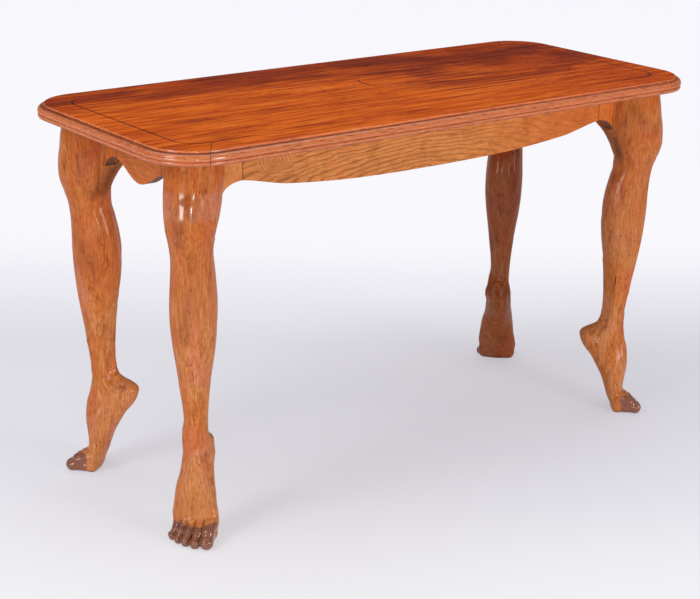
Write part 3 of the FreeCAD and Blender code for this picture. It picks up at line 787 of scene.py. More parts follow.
FORMS = (
    # the kneecap, the hollows beside it and the muscles above it
    Form(1.3, 17.0, ((0, 622), (0, 604))),
    Form(-1.5, 9.0, ((50, 634), (52, 604), (36, 580))),
    Form(-1.5, 9.0, ((-52, 634), (-54, 604), (-38, 580))),
    Form(2.0, 7.0, ((2, 586), (4, 566))),
    Form(1.8, 9.0, ((4, 556),)),
    Form(1.8, 16.0, ((58, 684), (50, 660))),
    Form(1.4, 16.0, ((-54, 690), (-48, 672))),
    # the shin's edge, the flat and the muscle beside it
    Form(1.8, 7.0, ((6, 548), (9, 450), (14, 350), (20, 262))),
    Form(-1.4, 10.0, ((40, 530), (44, 420), (50, 320))),
    Form(1.4, 12.0, ((-30, 540), (-28, 440), (-20, 340), (-8, 272))),
    Form(-1.1, 8.0, ((-64, 520), (-64, 400), (-60, 300))),
    Form(-1.1, 9.0, ((90, 520), (94, 400), (86, 300))),
    Form(1.0, 12.0, ((-84, 570),)),
    # the two heads of the calf, the groove between them and their lower edges
    Form(2.4, 18.0, ((140, 500), (142, 440))),
    Form(2.0, 18.0, ((-140, 505), (-142, 455))),
    Form(-1.9, 8.0, ((180, 524), (180, 428))),
    Form(-1.9, 9.0, ((122, 398), (142, 380), (158, 362))),
    Form(-1.8, 9.0, ((-122, 408), (-144, 390), (-160, 366))),
    # the heel's tendon with a hollow on each side
    Form(2.2, 6.5, ((180, 330), (180, 200))),
    Form(-3.0, 9.0, ((130, 310), (132, 244), (134, 204))),
    Form(-3.0, 9.0, ((-130, 310), (-132, 244), (-134, 204))),
    # the back of the knee
    Form(-2.8, 13.0, ((180, 592), (180, 560))),
    Form(2.4, 6.5, ((142, 640), (140, 592), (118, 552))),
    Form(2.4, 6.5, ((-140, 640), (-138, 592), (-108, 566))),
    # the ankle: its two knobs and the hollows between them and the heel
    Form(2.4, 8.5, ((84, 182), (88, 172))),
    Form(2.4, 8.0, ((-94, 176), (-94, 167))),
    Form(-2.8, 7.5, ((142, 214), (122, 188), (112, 160))),
    Form(-2.8, 7.5, ((-142, 214), (-124, 186), (-116, 158))),
    Form(1.8, 4.5, ((26, 262), (30, 220), (44, 180), (60, 150))),
    # the tendons that run down the instep to the toes
    Form(1.3, 3.4, ((8, 214), (30, 144), (42, 92), (48, 56))),
    Form(1.0, 3.0, ((4, 190), (10, 140), (12, 92), (14, 58))),
    Form(1.0, 3.0, ((0, 190), (-6, 140), (-10, 92), (-14, 56))),
    Form(1.0, 3.0, ((-4, 190), (-24, 140), (-34, 90), (-40, 52))),
    Form(1.0, 3.0, ((-8, 190), (-40, 140), (-58, 88), (-66, 46))),
    # the balls of the foot, its arch and its heel
    Form(2.0, 10.0, ((74, 50), (64, 36))),
    Form(1.6, 8.0, ((-84, 44), (-76, 32))),
    Form(-2.4, 13.0, ((114, 122), (102, 98))),
    Form(-1.4, 12.0, ((-116, 112),)),
    Form(1.2, 14.0, ((180, 160),)),
    # folds above the heel and beside it
    Form(-1.1, 1.9, ((150, 196), (180, 199), (-152, 196))),
    Form(-0.8, 1.8, ((152, 206), (180, 208), (-154, 206))),
    Form(-1.5, 1.8, ((110, 189), (113, 175))),
    Form(-1.7, 1.9, ((117, 188), (121, 168))),
    Form(-1.5, 1.8, ((125, 186), (129, 172))),
    Form(-1.3, 1.8, ((-112, 187), (-115, 174))),
    Form(-1.4, 1.8, ((-120, 187), (-124, 170))),
    # folds on the sole and beside the ball
    Form(-1.1, 1.6, ((148, 60), (168, 57))),
    Form(-1.2, 1.6, ((150, 52), (172, 50))),
    Form(-1.1, 1.6, ((154, 44), (176, 43))),
    Form(-1.8, 1.7, ((42, 40), (50, 26), (54, 10))),
    Form(-1.4, 1.5, ((52, 34), (60, 22), (62, 10))),
    Form(-1.0, 1.5, ((36, 44), (44, 34))),
)

TOES = (
    Toe(((24.0, 22.0, 30.0), (42.0, 22.5, 24.0), (55.0, 22.5, 11.6)), (13.5, 11.5, 11.6), (18.0, 21.0, 13.0), 0.95),
    Toe(((26.0, 6.0, 32.0), (43.0, 4.5, 23.5), (56.0, 2.0, 9.0)), (9.8, 8.6, 9.0), (16.0, 5.0, 10.0), 0.8),
    Toe(((24.0, -9.0, 31.0), (38.5, -12.0, 22.5), (49.5, -15.5, 9.0)), (9.6, 8.5, 9.0), (15.0, -9.0, 10.0), 0.78),
    Toe(((21.0, -22.5, 29.5), (32.5, -26.5, 21.5), (40.5, -30.5, 8.8)), (9.4, 8.3, 8.8), (14.0, -21.0, 9.5), 0.75),
    Toe(((15.0, -33.5, 26.0), (22.5, -38.5, 19.0), (28.0, -43.5, 8.6)), (9.2, 8.0, 8.6), (14.0, -32.0, 8.5), 0.7),
)

# cracks and knots that one leg alone has: how dark, how wide, and the line they follow
CRACKS = {
    Corner.FRONT_LEFT: (
        Form(0.85, 0.9, ((-35, 336), (-36, 300))),
        Form(0.7, 1.8, ((-22, 402),)),
        Form(0.6, 1.2, ((-30, 372), (-31, 352))),
        Form(0.5, 1.0, ((-12, 366), (-14, 340))),
    ),
    Corner.FRONT_RIGHT: (
        Form(0.7, 0.9, ((89, 417), (98, 380), (99, 358), (102, 334), (101, 296), (106, 276), (120, 251), (122, 219))),
        Form(0.8, 1.6, ((101, 300), (102, 288))),
        Form(0.9, 2.2, ((118, 252),)),
    ),
    Corner.BACK_LEFT: (
        Form(0.6, 0.9, ((72, 352), (96, 349))),
        Form(0.6, 1.6, ((96, 396),)),
        Form(0.5, 1.1, ((84, 372), (88, 358))),
    ),
    Corner.BACK_RIGHT: (Form(0.4, 1.2, ((178, 320), (182, 286))),),
}

# painted shade in the corner below the arch of each ear, where the leg lies in the shadow of the top
SHADES = (
    Form(0.75, 17.0, ((-52.0, 22.0, 636.0), (-38.0, 26.0, 598.0), (-24.0, 24.0, 566.0))),
    Form(0.75, 17.0, ((-52.0, -22.0, 636.0), (-38.0, -26.0, 598.0), (-24.0, -26.0, 566.0))),
)

# the stains of each leg, written in the same way as the cracks; the back right leg's darkens it all over and is mostly
# painted shade
STAINS_AND_SHADE = {
    Corner.FRONT_LEFT: (
        Form(0.6, 15.0, ((4, 640), (8, 616))),
        Form(0.7, 11.0, ((-16, 596), (-14, 560))),
        Form(0.5, 13.0, ((4, 470), (-2, 430), (-10, 384))),
        Form(0.4, 9.0, ((12, 540), (8, 512))),
    ),
    Corner.FRONT_RIGHT: (Form(0.6, 13.0, ((96, 664), (84, 650), (74, 638))), Form(0.3, 9.0, ((84, 352),))),
    Corner.BACK_LEFT: (
        Form(0.45, 12.0, ((96, 640), (90, 600))),
        Form(0.55, 15.0, ((70, 455), (92, 415))),
        Form(0.4, 10.0, ((130, 520), (120, 480))),
    ),
    # mostly painted shade, darkening the whole back right leg
    Corner.BACK_RIGHT: (Form(0.95, 900.0, ((180, 350),)),),
}


def smooth_union(first: np.ndarray, second: np.ndarray, blend: float) -> np.ndarray:
    """Join two solids with a fillet.

    Args:
        first: distance to the first solid.
        second: distance to the second solid.
        blend: how wide the fillet is.

    Returns:
        Distance to both.
    """
    near = np.maximum(blend - np.abs(first - second), 0.0) / blend
    return np.minimum(first, second) - near * near * blend * 0.25


def line_distance(spots: np.ndarray, line: np.ndarray) -> np.ndarray:
    """How far points are from a broken line.

    Args:
        spots: the points, one in each row.
        line: the line's points, one in each row.

    Returns:
        The distance of each point.
    """
    if len(line) == 1:
        return np.linalg.norm(spots - line[0], axis=1)
    best = np.full(len(spots), np.inf)
    for start, end in zip(line[:-1], line[1:]):
        run = end - start
        share = np.clip((spots - start) @ run / (run @ run), 0.0, 1.0)
        best = np.minimum(best, np.linalg.norm(spots - start - share[:, None] * run, axis=1))
    return best


@dataclass
class CarvedForm:
    """The form of a right leg as a distance field, in millimetres from the leg's own axis."""

    height: float = 701.0
    reach: float = 76.0
    side: float = 58.0
    step: float = 1.42
    fine_step: float = 1.22
    coarse_step: float = 2.35
    fine_height: float = 82.0
    band: float = 10.0
    toe_height: float = 70.0
    toe_fillet: float = 5.0
    toe_crease: float = 0.7
    toe_waist: float = 0.9
    joint_fillet: float = 3.0
    pad_fillet: float = 4.0
    pad_rise: float = 0.9
    pad_taper: float = 0.3
    nail_half_width: float = 0.74
    nail_start: float = 1.5
    nail_shortening: float = 1.3
    nail_lift: float = 0.55
    nail_groove: float = 0.9
    fold_lift: float = -0.8
    fold_width: float = 1.0
    fold_droop: float = 1.2
    folds: tuple[tuple[float, float], ...] = ((0.78, 0.5), (0.95, 0.6), (1.12, 0.5))
    probe: float = 0.15
    longest_move: float = 0.7
    least_slope: float = 0.3
    flat_rims: tuple[float, float] = (1.0, 1.5)

    def __post_init__(self) -> None:
        """Smooth the table of levels."""
        rows = np.array(LEVELS)
        self.fine_levels = np.linspace(0.0, self.height, 1403)
        slopes = np.gradient(rows[:, 1:], rows[:, 0], axis=0)
        index = np.clip(np.searchsorted(rows[:, 0], self.fine_levels, side="right") - 1, 0, len(rows) - 2)
        span = rows[index + 1, 0] - rows[index, 0]
        share = ((self.fine_levels - rows[index, 0]) / span)[:, None]
        span = span[:, None]
        start = rows[index, 1:] * (1 + 2 * share) * (1 - share) ** 2 + slopes[index] * span * share * (1 - share) ** 2
        end = rows[index + 1, 1:] * share**2 * (3 - 2 * share) + slopes[index + 1] * span * share**2 * (share - 1)
        self.smooth_rows = start + end

    def oval(self, level: np.ndarray) -> tuple[np.ndarray, np.ndarray, np.ndarray, np.ndarray]:
        """The oval at each level: its middle outwards and sideways, and its two half widths."""
        back, front, outer, inner = (np.interp(level, self.fine_levels, column) for column in self.smooth_rows.T)
        return (front - back) / 2, (inner - outer) / 2, (front + back) / 2, (inner + outer) / 2

    def ratio(self, out: np.ndarray, side: np.ndarray, up: np.ndarray) -> np.ndarray:
        """How far out a point is, where 1 is on the oval."""
        middle_out, middle_side, half_out, half_side = self.oval(up)
        return np.sqrt(((out - middle_out) / half_out) ** 2 + ((side - middle_side) / half_side) ** 2 + 1e-9)

    def trunk(self, out: np.ndarray, side: np.ndarray, up: np.ndarray) -> np.ndarray:
        """Distance to the plain leg and foot without toes."""
        middle_out, middle_side, half_out, half_side = self.oval(up)
        ratio = self.ratio(out, side, up)
        lean_out = (out - middle_out) / half_out**2 / ratio
        lean_side = (side - middle_side) / half_side**2 / ratio
        lean_up = (self.ratio(out, side, up + 1.0) - self.ratio(out, side, up - 1.0)) / 2
        return (ratio - 1) / np.sqrt(lean_out**2 + lean_side**2 + lean_up**2 + 1e-9)

    def skin_spots(self, path: Sequence[Sequence[float]]) -> np.ndarray:
        """The places of a form's line. Angles are turned into places on the plain leg."""
        spots = []
        for spot in path:
            if len(spot) == 3:
                spots.append(spot)
                continue
            angle = math.radians(spot[0])
            middle_out, middle_side, half_out, half_side = self.oval(np.array(float(spot[1])))
            spots.append((middle_out + half_out * math.cos(angle), middle_side + half_side * math.sin(angle), spot[1]))
        return np.array(spots, dtype=float)

    def forms(self, spots: np.ndarray, forms: Sequence[Form]) -> np.ndarray:
        """What a set of forms adds up to at each point."""
        total = np.zeros(len(spots))
        for form in forms:
            line = self.skin_spots(form.path)
            margin = 2.6 * form.width
            near = np.all((spots > line.min(axis=0) - margin) & (spots < line.max(axis=0) + margin), axis=1)
            distance = line_distance(spots[near], line)
            total[near] += form.lift * np.exp(-((distance / form.width) ** 2))
        return total

    def toe(self, spots: np.ndarray, toe: Toe) -> np.ndarray:
        """Distance to one toe, with the pad below its knuckle and its nail."""
        joints = np.array(toe.spots)
        best = self.limb(spots, joints[:2], toe.radii[:2])
        best = smooth_union(best, self.limb(spots, joints[1:], toe.radii[1:], self.toe_waist), self.joint_fillet)
        ball = np.array((toe.pad[0], toe.pad[1], toe.pad[2] * self.pad_rise))
        pad = self.limb(spots, np.array((ball, joints[2])), (toe.pad[2], toe.radii[2] - self.pad_taper))
        best = smooth_union(best, pad, self.pad_fillet)
        along = joints[2] - joints[1]
        along /= np.linalg.norm(along)
        sideways = np.cross((0.0, 0.0, 1.0), along)
        sideways /= np.linalg.norm(sideways)
        local = spots - joints[2]
        lead, width, rise = local @ along, local @ sideways, local @ np.cross(along, sideways)
        half_length = toe.radii[2] * toe.nail / self.nail_shortening
        half_width = toe.radii[2] * self.nail_half_width
        edge = np.maximum(np.abs(width) - half_width, np.abs(lead - self.nail_start) - half_length)
        upper = 1.0 / (1.0 + np.exp(-(rise - 1.0)))
        plate = self.nail_lift / (1.0 + np.exp(edge * 2.2))
        return best - upper * (plate - self.nail_groove * np.exp(-((edge - 0.2) ** 2)))

    def limb(self, spots: np.ndarray, ends: np.ndarray, radii: Sequence[float], waist: float = 0.0) -> np.ndarray:
        """Distance to a round limb.

        Args:
            spots: the points, one in each row.
            ends: its two ends.
            radii: its radius at each end.
            waist: how much thinner it is halfway than a plain taper.

        Returns:
            The distance of each point.
        """
        run = ends[1] - ends[0]
        share = np.clip((spots - ends[0]) @ run / (run @ run), 0.0, 1.0)
        radius = radii[0] + share * (radii[1] - radii[0]) - waist * np.sin(math.pi * share)
        return np.linalg.norm(spots - ends[0] - share[:, None] * run, axis=1) - radius

    def wrinkles(self) -> list[Form]:
        """The short folds over each toe's joints."""
        folds = []
        for toe in TOES:
            joints = np.array(toe.spots)
            run = joints[1] - joints[0]
            sideways = np.cross((0.0, 0.0, 1.0), run)
            sideways /= np.linalg.norm(sideways)
            above = np.cross(run, sideways)
            above /= np.linalg.norm(above)
            for share, reach in self.folds:
                middle = joints[0] + run * share + above * toe.radii[1]
                path = []
                for way in (-1, 0, 1):
                    spot = middle + sideways * toe.radii[1] * way * reach - above * abs(way) * self.fold_droop
                    path.append(tuple(spot))
                folds.append(Form(self.fold_lift, self.fold_width, tuple(path)))
        return folds

    def distance(self, spots: np.ndarray) -> np.ndarray:
        """Distance to the carved leg at each point."""
        out, side, up = spots.T
        whole = self.trunk(out, side, up)
        low = up < self.toe_height
        toes = self.toe(spots[low], TOES[0])
        for toe in TOES[1:]:
            toes = smooth_union(toes, self.toe(spots[low], toe), self.toe_crease)
        whole[low] = smooth_union(whole[low], toes, self.toe_fillet)
        whole -= self.forms(spots, FORMS)
        whole -= self.forms(spots, self.wrinkles())
        return np.maximum(np.maximum(whole, -up), up - self.height)

    def axes(self) -> list[np.ndarray]:
        """The three rulers of the grid."""
        low = np.arange(-2 * self.fine_step, self.fine_height, self.fine_step)
        count = int(math.ceil((self.height + 3.0 - low[-1]) / self.coarse_step))
        high = low[-1] + self.coarse_step * np.arange(1, count + 1)
        return [
            np.arange(-self.reach, self.reach + self.step, self.step),
            np.arange(-self.side, self.side + self.step, self.step),
            np.concatenate((low, high)),
        ]

    def mesh(self) -> tuple[np.ndarray, np.ndarray]:
        """The leg's skin as points and four-sided faces."""
        axes = self.axes()
        grids = np.meshgrid(*axes, indexing="ij", sparse=True)
        values = self.trunk(*grids)
        toe_space = (grids[0] > 0.0) & (grids[2] < 60.0) & (values > -self.band)
        values = np.maximum(np.maximum(values, -grids[2]), grids[2] - self.height)
        near = (np.abs(values) < self.band) | toe_space
        index = np.argwhere(near)
        spots = np.stack([axis[column] for axis, column in zip(axes, index.T)], axis=1)
        values[near] = self.distance(spots)
        points, faces = outer_skin(*surface_net(mended(values), axes))
        for _ in range(2):
            points = self.settled(points)
        return points, faces

    def settled(self, points: np.ndarray) -> np.ndarray:
        """Move points onto the exact skin."""
        here = self.distance(points)
        slope = np.zeros_like(points)
        for axis in range(3):
            shift = np.zeros(3)
            shift[axis] = self.probe
            slope[:, axis] = (self.distance(points + shift) - here) / self.probe
        size = np.maximum((slope**2).sum(axis=1), self.least_slope)
        move = np.clip(-here / size, -self.longest_move, self.longest_move)[:, None] * slope
        edge = (points[:, 2] < self.flat_rims[0]) | (points[:, 2] > self.height - self.flat_rims[1])
        move[edge] = 0.0
        return points + move


def mended(values: np.ndarray) -> np.ndarray:
    """Fill the places of a field where two skins would touch along one edge, so that the skin is sound.

    Args:
        values: the field on a grid, negative inside. It is changed.

    Returns:
        The same field.
    """
    low, high = slice(None, -1), slice(1, None)
    touching = True
    while touching:
        touching = False
        for first_axis, second_axis in ((0, 1), (0, 2), (1, 2)):
            corners = []
            for first, second in product((low, high), repeat=2):
                place = [slice(None)] * 3
                place[first_axis], place[second_axis] = first, second
                corners.append(values[tuple(place)])
            signs = [corner < 0 for corner in corners]
            crossed = (signs[0] == signs[3]) & (signs[1] == signs[2]) & (signs[0] != signs[1])
            if crossed.any():
                touching = True
                for corner in corners:
                    corner[crossed] = np.minimum(corner[crossed], -0.05)
    return values


def surface_net(values: np.ndarray, axes: Sequence[np.ndarray]) -> tuple[np.ndarray, np.ndarray]:
    """Find the surface where a field is zero.

    Args:
        values: the field on a grid, negative inside.
        axes: the grid's three rulers.

    Returns:
        One point for each cell that the surface crosses, and the faces between them, seen from outside.
    """
    inside = values < 0
    size = np.array(inside.shape)
    full = np.zeros(size - 1, dtype=np.int8)
    for shift in product((0, 1), repeat=3):
        full += inside[tuple(slice(s, n - 1 + s) for s, n in zip(shift, size))]
    crossed = (full > 0) & (full < 8)
    cells = np.argwhere(crossed)
    number = np.full(crossed.shape, -1, dtype=np.int64)
    number[crossed] = np.arange(len(cells))
    total = np.zeros((len(cells), 3))
    hits = np.zeros(len(cells))
    for axis in range(3):
        unit = np.eye(3, dtype=int)[axis]
        for shift in product((0, 1), repeat=3):
            if shift[axis]:
                continue
            first = cells + shift
            second = first + unit
            low = values[tuple(first.T)]
            high = values[tuple(second.T)]
            cut = (low < 0) != (high < 0)
            share = low[cut] / (low[cut] - high[cut])
            start = np.stack([axes[k][first[cut, k]] for k in range(3)], axis=1)
            end = np.stack([axes[k][second[cut, k]] for k in range(3)], axis=1)
            total[cut] += start + share[:, None] * (end - start)
            hits[cut] += 1
    points = total / hits[:, None]
    faces = []
    for axis in range(3):
        later = [(axis + 1) % 3, (axis + 2) % 3]
        low = np.take(inside, np.arange(size[axis] - 1), axis)
        high = np.take(inside, np.arange(1, size[axis]), axis)
        edges = np.argwhere(low != high)
        kept = (edges[:, later[0]] > 0) & (edges[:, later[1]] > 0)
        edges = edges[kept & (edges[:, later[0]] < size[later[0]] - 1) & (edges[:, later[1]] < size[later[1]] - 1)]
        ring = []
        for back in ((1, 1), (0, 1), (0, 0), (1, 0)):
            cell = edges.copy()
            cell[:, later[0]] -= back[0]
            cell[:, later[1]] -= back[1]
            ring.append(number[tuple(cell.T)])
        quads = np.stack(ring, axis=1)
        outward = low[tuple(edges.T)]
        quads[~outward] = quads[~outward][:, ::-1]
        faces.append(quads)
    return points, np.concatenate(faces)


def outer_skin(points: np.ndarray, faces: np.ndarray) -> tuple[np.ndarray, np.ndarray]:
    """Keep the largest connected skin, without the closed hollows that lie between the toes' balls.

    Args:
        points: the points of all the skins.
        faces: their four-sided faces.

    Returns:
        The points and faces of the largest skin.
    """
    label = np.arange(len(points))
    while True:
        joined = label.copy()
        np.minimum.at(joined, label[faces], label[faces].min(axis=1)[:, None])
        joined = joined[joined]
        if np.array_equal(joined, label):
            break
        label = joined
    kept = label == np.bincount(label).argmax()
    number = np.cumsum(kept) - 1
    return points[kept], number[faces[kept[faces[:, 0]]]]


def mesh_object(name: str, points: np.ndarray, faces: Sequence[Sequence[int]]) -> bpy.types.Object:
    """Make an object from points in metres and faces.

    Args:
        name: what it is called.
        points: one point in each row.
        faces: the points of each face.

    Returns:
        The object, linked to the scene.
    """
    mesh = bpy.data.meshes.new(name)
    mesh.from_pydata(points.tolist(), [], [list(face) for face in faces])
    mesh.update()
    made = bpy.data.objects.new(name, mesh)
    bpy.context.scene.collection.objects.link(made)
    return made


def merged_copy(node: bpy.types.Object) -> bpy.types.Object:
    """A copy of a CAD piece with its loose triangles joined, for use as a cutting tool."""
    work = bmesh.new()
    work.from_mesh(node.data)
    bmesh.ops.remove_doubles(work, verts=work.verts, dist=WELD)
    mesh = bpy.data.meshes.new("cutter_" + node.name)
    work.to_mesh(mesh)
    work.free()
    made = bpy.data.objects.new("cutter_" + node.name, mesh)
    bpy.context.scene.collection.objects.link(made)
    return made


def made_plain(piece: bpy.types.Object) -> None:
    """Turn a piece with its modifiers into a plain mesh."""
    graph = bpy.context.evaluated_depsgraph_get()
    result = bpy.data.meshes.new_from_object(piece.evaluated_get(graph))
    piece.modifiers.clear()
    old = piece.data
    piece.data = result
    bpy.data.meshes.remove(old)


def finished(mesh: bpy.types.Mesh, finish: bpy.types.Material, sharp: float) -> None:
    """Give a plain mesh its material and its smooth faces.

    Args:
        mesh: the mesh.
        finish: the material of all its faces.
        sharp: the angle in degrees above which an edge looks sharp.
    """
    mesh.materials.clear()
    mesh.materials.append(finish)
    mesh.polygons.foreach_set("material_index", [0] * len(mesh.polygons))
    mesh.shade_smooth()
    mesh.set_sharp_from_angle(angle=math.radians(sharp))


def shaped(piece: bpy.types.Object, tools: Sequence[tuple[str, bpy.types.Object]]) -> None:
    """Join tools to a piece or cut them from it, and throw the tools away.

    Args:
        piece: the piece whose mesh is changed.
        tools: what is done and with which object.
    """
    for operation, tool in tools:
        step = piece.modifiers.new(tool.name, "BOOLEAN")
        step.operation = operation
        step.solver = "MANIFOLD"
        step.object = tool
    made_plain(piece)
    for _, tool in tools:
        spare = tool.data
        bpy.data.objects.remove(tool)
        bpy.data.meshes.remove(spare)


@dataclass
class CarvedLegs:
    """The four legs, each carved as a human leg that stands on its toes."""

    nodes: dict[str, bpy.types.Object]
    axis_x: float = 520.0
    axis_y: float = 176.0
    face_x: float = 528.0
    face_y: float = 176.5
    post_rings: tuple[tuple[float, float, float], ...] = (
        (701.0, 58.0, 1.0),
        (640.0, 58.0, 3.0),
        (622.0, 58.0, 20.0),
        (612.0, 52.0, 24.0),
        (603.0, 47.0, 24.0),
        (594.0, 42.5, 22.0),
        (580.0, 36.0, 18.0),
        (560.0, 29.0, 14.0),
        (530.0, 18.0, 8.0),
    )
    round_angles: tuple[float, ...] = (0.0, 22.5, 45.0, 67.5, 90.0)
    sharp: float = 55.0
    toe_top: float = 54.0
    toe_top_fade: float = 4.0
    toe_base_fade: float = 1.8
    floor_darkening: float = 0.7
    floor_darkening_top: float = 7.0
    floor_darkening_fade: float = 5.0
    groove_top: float = 42.0
    groove_start: float = 12.0
    groove_width: float = 1.7
    groove_depth: float = 3.0
    crease_share: float = 0.42
    crease_limit: float = 0.6
    groove_share: float = 0.75
    fold_width_limit: float = 2.5
    toe_sides: tuple[float, ...] = (-50.0, -41.0, -34.0, -28.0, -22.0, -15.5, -9.0, -1.5, 6.0, 13.5, 22.0, 36.0)
    toe_bases: tuple[float, ...] = (18.0, 21.0, 25.0, 25.0, 33.0, 31.0, 39.0, 36.0, 42.5, 37.0, 38.0, 22.0)

    def build(self) -> None:
        """Carve one form and set it at each corner."""
        form = CarvedForm()
        points, faces = form.mesh()
        LOG.info("carved form: %d points, %d faces", len(points), len(faces))
        finish = LegWood().material("carved_leg_wood")
        for corner in Corner:
            self.leg(corner, form, points, faces, finish)

    def turned(self, corner: Corner, points: np.ndarray) -> np.ndarray:
        """Bring points of the right leg to a corner of the table."""
        _, side_x, side_y, left = corner.value
        angle = math.atan2(side_y, side_x)
        out = points[:, 0]
        side = -points[:, 1] if left else points[:, 1]
        x = side_x * self.axis_x + out * math.cos(angle) - side * math.sin(angle)
        y = side_y * self.axis_y + out * math.sin(angle) + side * math.cos(angle)
        return np.stack((x, y, points[:, 2]), axis=1)

    def returned(self, corner: Corner, points: np.ndarray) -> np.ndarray:
        """Bring points at a corner of the table back to the right leg."""
        _, side_x, side_y, left = corner.value
        angle = math.atan2(side_y, side_x)
        x = points[:, 0] - side_x * self.axis_x
        y = points[:, 1] - side_y * self.axis_y
        out = x * math.cos(angle) + y * math.sin(angle)
        side = -x * math.sin(angle) + y * math.cos(angle)
        return np.stack((out, -side if left else side, points[:, 2]), axis=1)

    def post(self, corner: Corner) -> bpy.types.Object:
        """The square post with the flare below it that runs out into the leg."""
        _, side_x, side_y, _ = corner.value
        spots = []
        for level, side, round_off in self.post_rings:
            middle = side - round_off
            ring = [(0.0, 0.0), (side, 0.0)]
            for angle in map(math.radians, self.round_angles):
                ring.append((middle + round_off * math.cos(angle), middle + round_off * math.sin(angle)))
            ring.append((0.0, side))
            for across, along in ring:
                spots.append((side_x * (self.face_x - across), side_y * (self.face_y - along), level))
        count = len(ring)
        faces = [tuple(range(count)), tuple(range(len(spots) - 1, len(spots) - count - 1, -1))]
        for start in range(0, len(spots) - count, count):
            for k in range(count):
                later = (k + 1) % count
                faces.append((start + k, start + count + k, start + count + later, start + later))
        if side_x * side_y < 0:
            faces = [face[::-1] for face in faces]
        return mesh_object("post_" + corner.value[0], np.array(spots) * MILLIMETRE, faces)

    def leg(
        self, corner: Corner, form: CarvedForm, points: np.ndarray, faces: np.ndarray, finish: bpy.types.Material
    ) -> None:
        """Make one leg.

        Args:
            corner: where it stands.
            form: the form that it is carved to.
            points: the skin of a right leg.
            faces: the faces of that skin.
            finish: its wood.
        """
        name = corner.value[0]
        end, side = name.split("_")
        if corner.value[3]:
            faces = faces[:, ::-1]
        piece = mesh_object("carved_leg_" + name, self.turned(corner, points) * MILLIMETRE, faces)
        tools = [("UNION", self.post(corner))]
        near = ("apron_" + end, "apron_" + side, "ear_" + name, "ear_%s_%s" % (side, end), "corner_block_" + name)
        for node in near:
            tools.append(("DIFFERENCE", merged_copy(self.nodes[node])))
        shaped(piece, tools)
        mesh = piece.data
        self.mark(corner, form, mesh)
        finished(mesh, finish, self.sharp)
        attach(piece, "root")
        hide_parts("leg_" + name)
        LOG.info("%s: %d triangles", piece.name, sum(len(face.vertices) - 2 for face in mesh.polygons))

    def toe_stain(self, spots: np.ndarray) -> np.ndarray:
        """How dark the foot is at each point: stained over all of the toes, and a little darker just above the floor.
        """
        out, side, up = spots.T
        bases = np.interp(side, self.toe_sides, self.toe_bases)
        toes = np.clip((out - bases) / self.toe_base_fade + 0.5, 0.0, 1.0)
        toes = toes * np.clip((self.toe_top - up) / self.toe_top_fade, 0.0, 1.0)
        # the foot is a little darker for a few millimetres above the floor
        low = np.clip((self.floor_darkening_top - up) / self.floor_darkening_fade, 0.0, 1.0)
        return np.maximum(toes, self.floor_darkening * low)

    def toe_grooves(self, form: CarvedForm, spots: np.ndarray) -> np.ndarray:
        """How near each point is to the bottom of a groove between two toes, 0 to 1."""
        low = (spots[:, 2] < self.groove_top) & (spots[:, 0] > self.groove_start)
        gaps = np.sort(np.stack([form.toe(spots[low], toe) for toe in TOES]), axis=0)
        grooves = np.zeros(len(spots))
        near = np.exp(-(((gaps[1] - gaps[0]) / self.groove_width) ** 2))
        grooves[low] = near * np.clip(1.5 - gaps[0] / self.groove_depth, 0.0, 1.0)
        return grooves

    def mark(self, corner: Corner, form: CarvedForm, mesh: bpy.types.Mesh) -> None:
        """Write the marks that the wood's finish reads into a leg's mesh."""
        flat = np.empty(len(mesh.vertices) * 3, dtype=np.float32)
        mesh.vertices.foreach_get("co", flat)
        spots = self.returned(corner, flat.reshape(-1, 3).astype(float) / MILLIMETRE)
        every = FORMS + tuple(form.wrinkles())
        # painted shade in the folds and in the grooves between the toes
        folds = [item for item in every if item.lift < 0 and item.width < self.fold_width_limit]
        creases = np.clip(-form.forms(spots, folds) * self.crease_share, 0.0, self.crease_limit)
        creases += self.groove_share * self.toe_grooves(form, spots)
        marks = {
            # painted shade of the creases and below the ears, with the real cracks and knots
            "dark": np.clip(creases + form.forms(spots, CRACKS[corner] + SHADES), 0.0, 1.0),
            # real stains, with mostly painted shade over the whole back right leg
            "stain": np.clip(form.forms(spots, STAINS_AND_SHADE[corner]), 0.0, 1.0),
            "toes": self.toe_stain(spots),
        }
        for name, values in marks.items():
            layer = mesh.attributes.new(name, "FLOAT", "POINT")
            layer.data.foreach_set("value", values.astype(np.float32))


@dataclass
class TableTop:
    """The framed top: two rails, two ends with round corners and a panel of two boards."""

    nodes: dict[str, bpy.types.Object]

    def build(self) -> None:
        """Dress the pieces of the top."""
        frame = TopWood(framed=True).material("top_frame_wood")
        panel = TopWood(framed=False).material("panel_wood")
        for name in ("top_end_left", "top_end_right", "top_rail_front", "top_rail_back"):
            dress(self.nodes[name], frame)
        for name in ("panel_board_front", "panel_board_back"):
            dress(self.nodes[name], panel)


@dataclass
class Aprons:
    """The four aprons and the eight ears beside the legs."""

    nodes: dict[str, bpy.types.Object]
    long_joints: tuple[float, float] = (0.428, 0.47)
    short_joints: tuple[float, float] = (0.0765, 0.1185)
    long_face: float = 0.1765
    short_face: float = 0.528

    def build(self) -> None:
        """Dress the aprons and the ears."""
        self.sides("long", ("front", "back"), self.long_joints, self.long_face)
        self.sides("short", ("left", "right"), self.short_joints, self.short_face)

    def sides(self, length: str, names: tuple[str, str], joints: tuple[float, float], face: float) -> None:
        """Dress two opposite sides.

        Args:
            length: long or short.
            names: the names of the two sides.
            joints: how far from the middle the joints beside the ears are.
            face: how far from the middle the aprons' outer faces are.
        """
        turned = length == "short"
        board = ApronWood(False, joints, face, turned).material("apron_wood_" + length)
        ear = ApronWood(True, joints, face, turned).material("ear_wood_" + length)
        for name, node in self.nodes.items():
            if name in ("apron_" + names[0], "apron_" + names[1]):
                dress(node, board)
            elif name.startswith(("ear_" + names[0], "ear_" + names[1])):
                dress(node, ear)


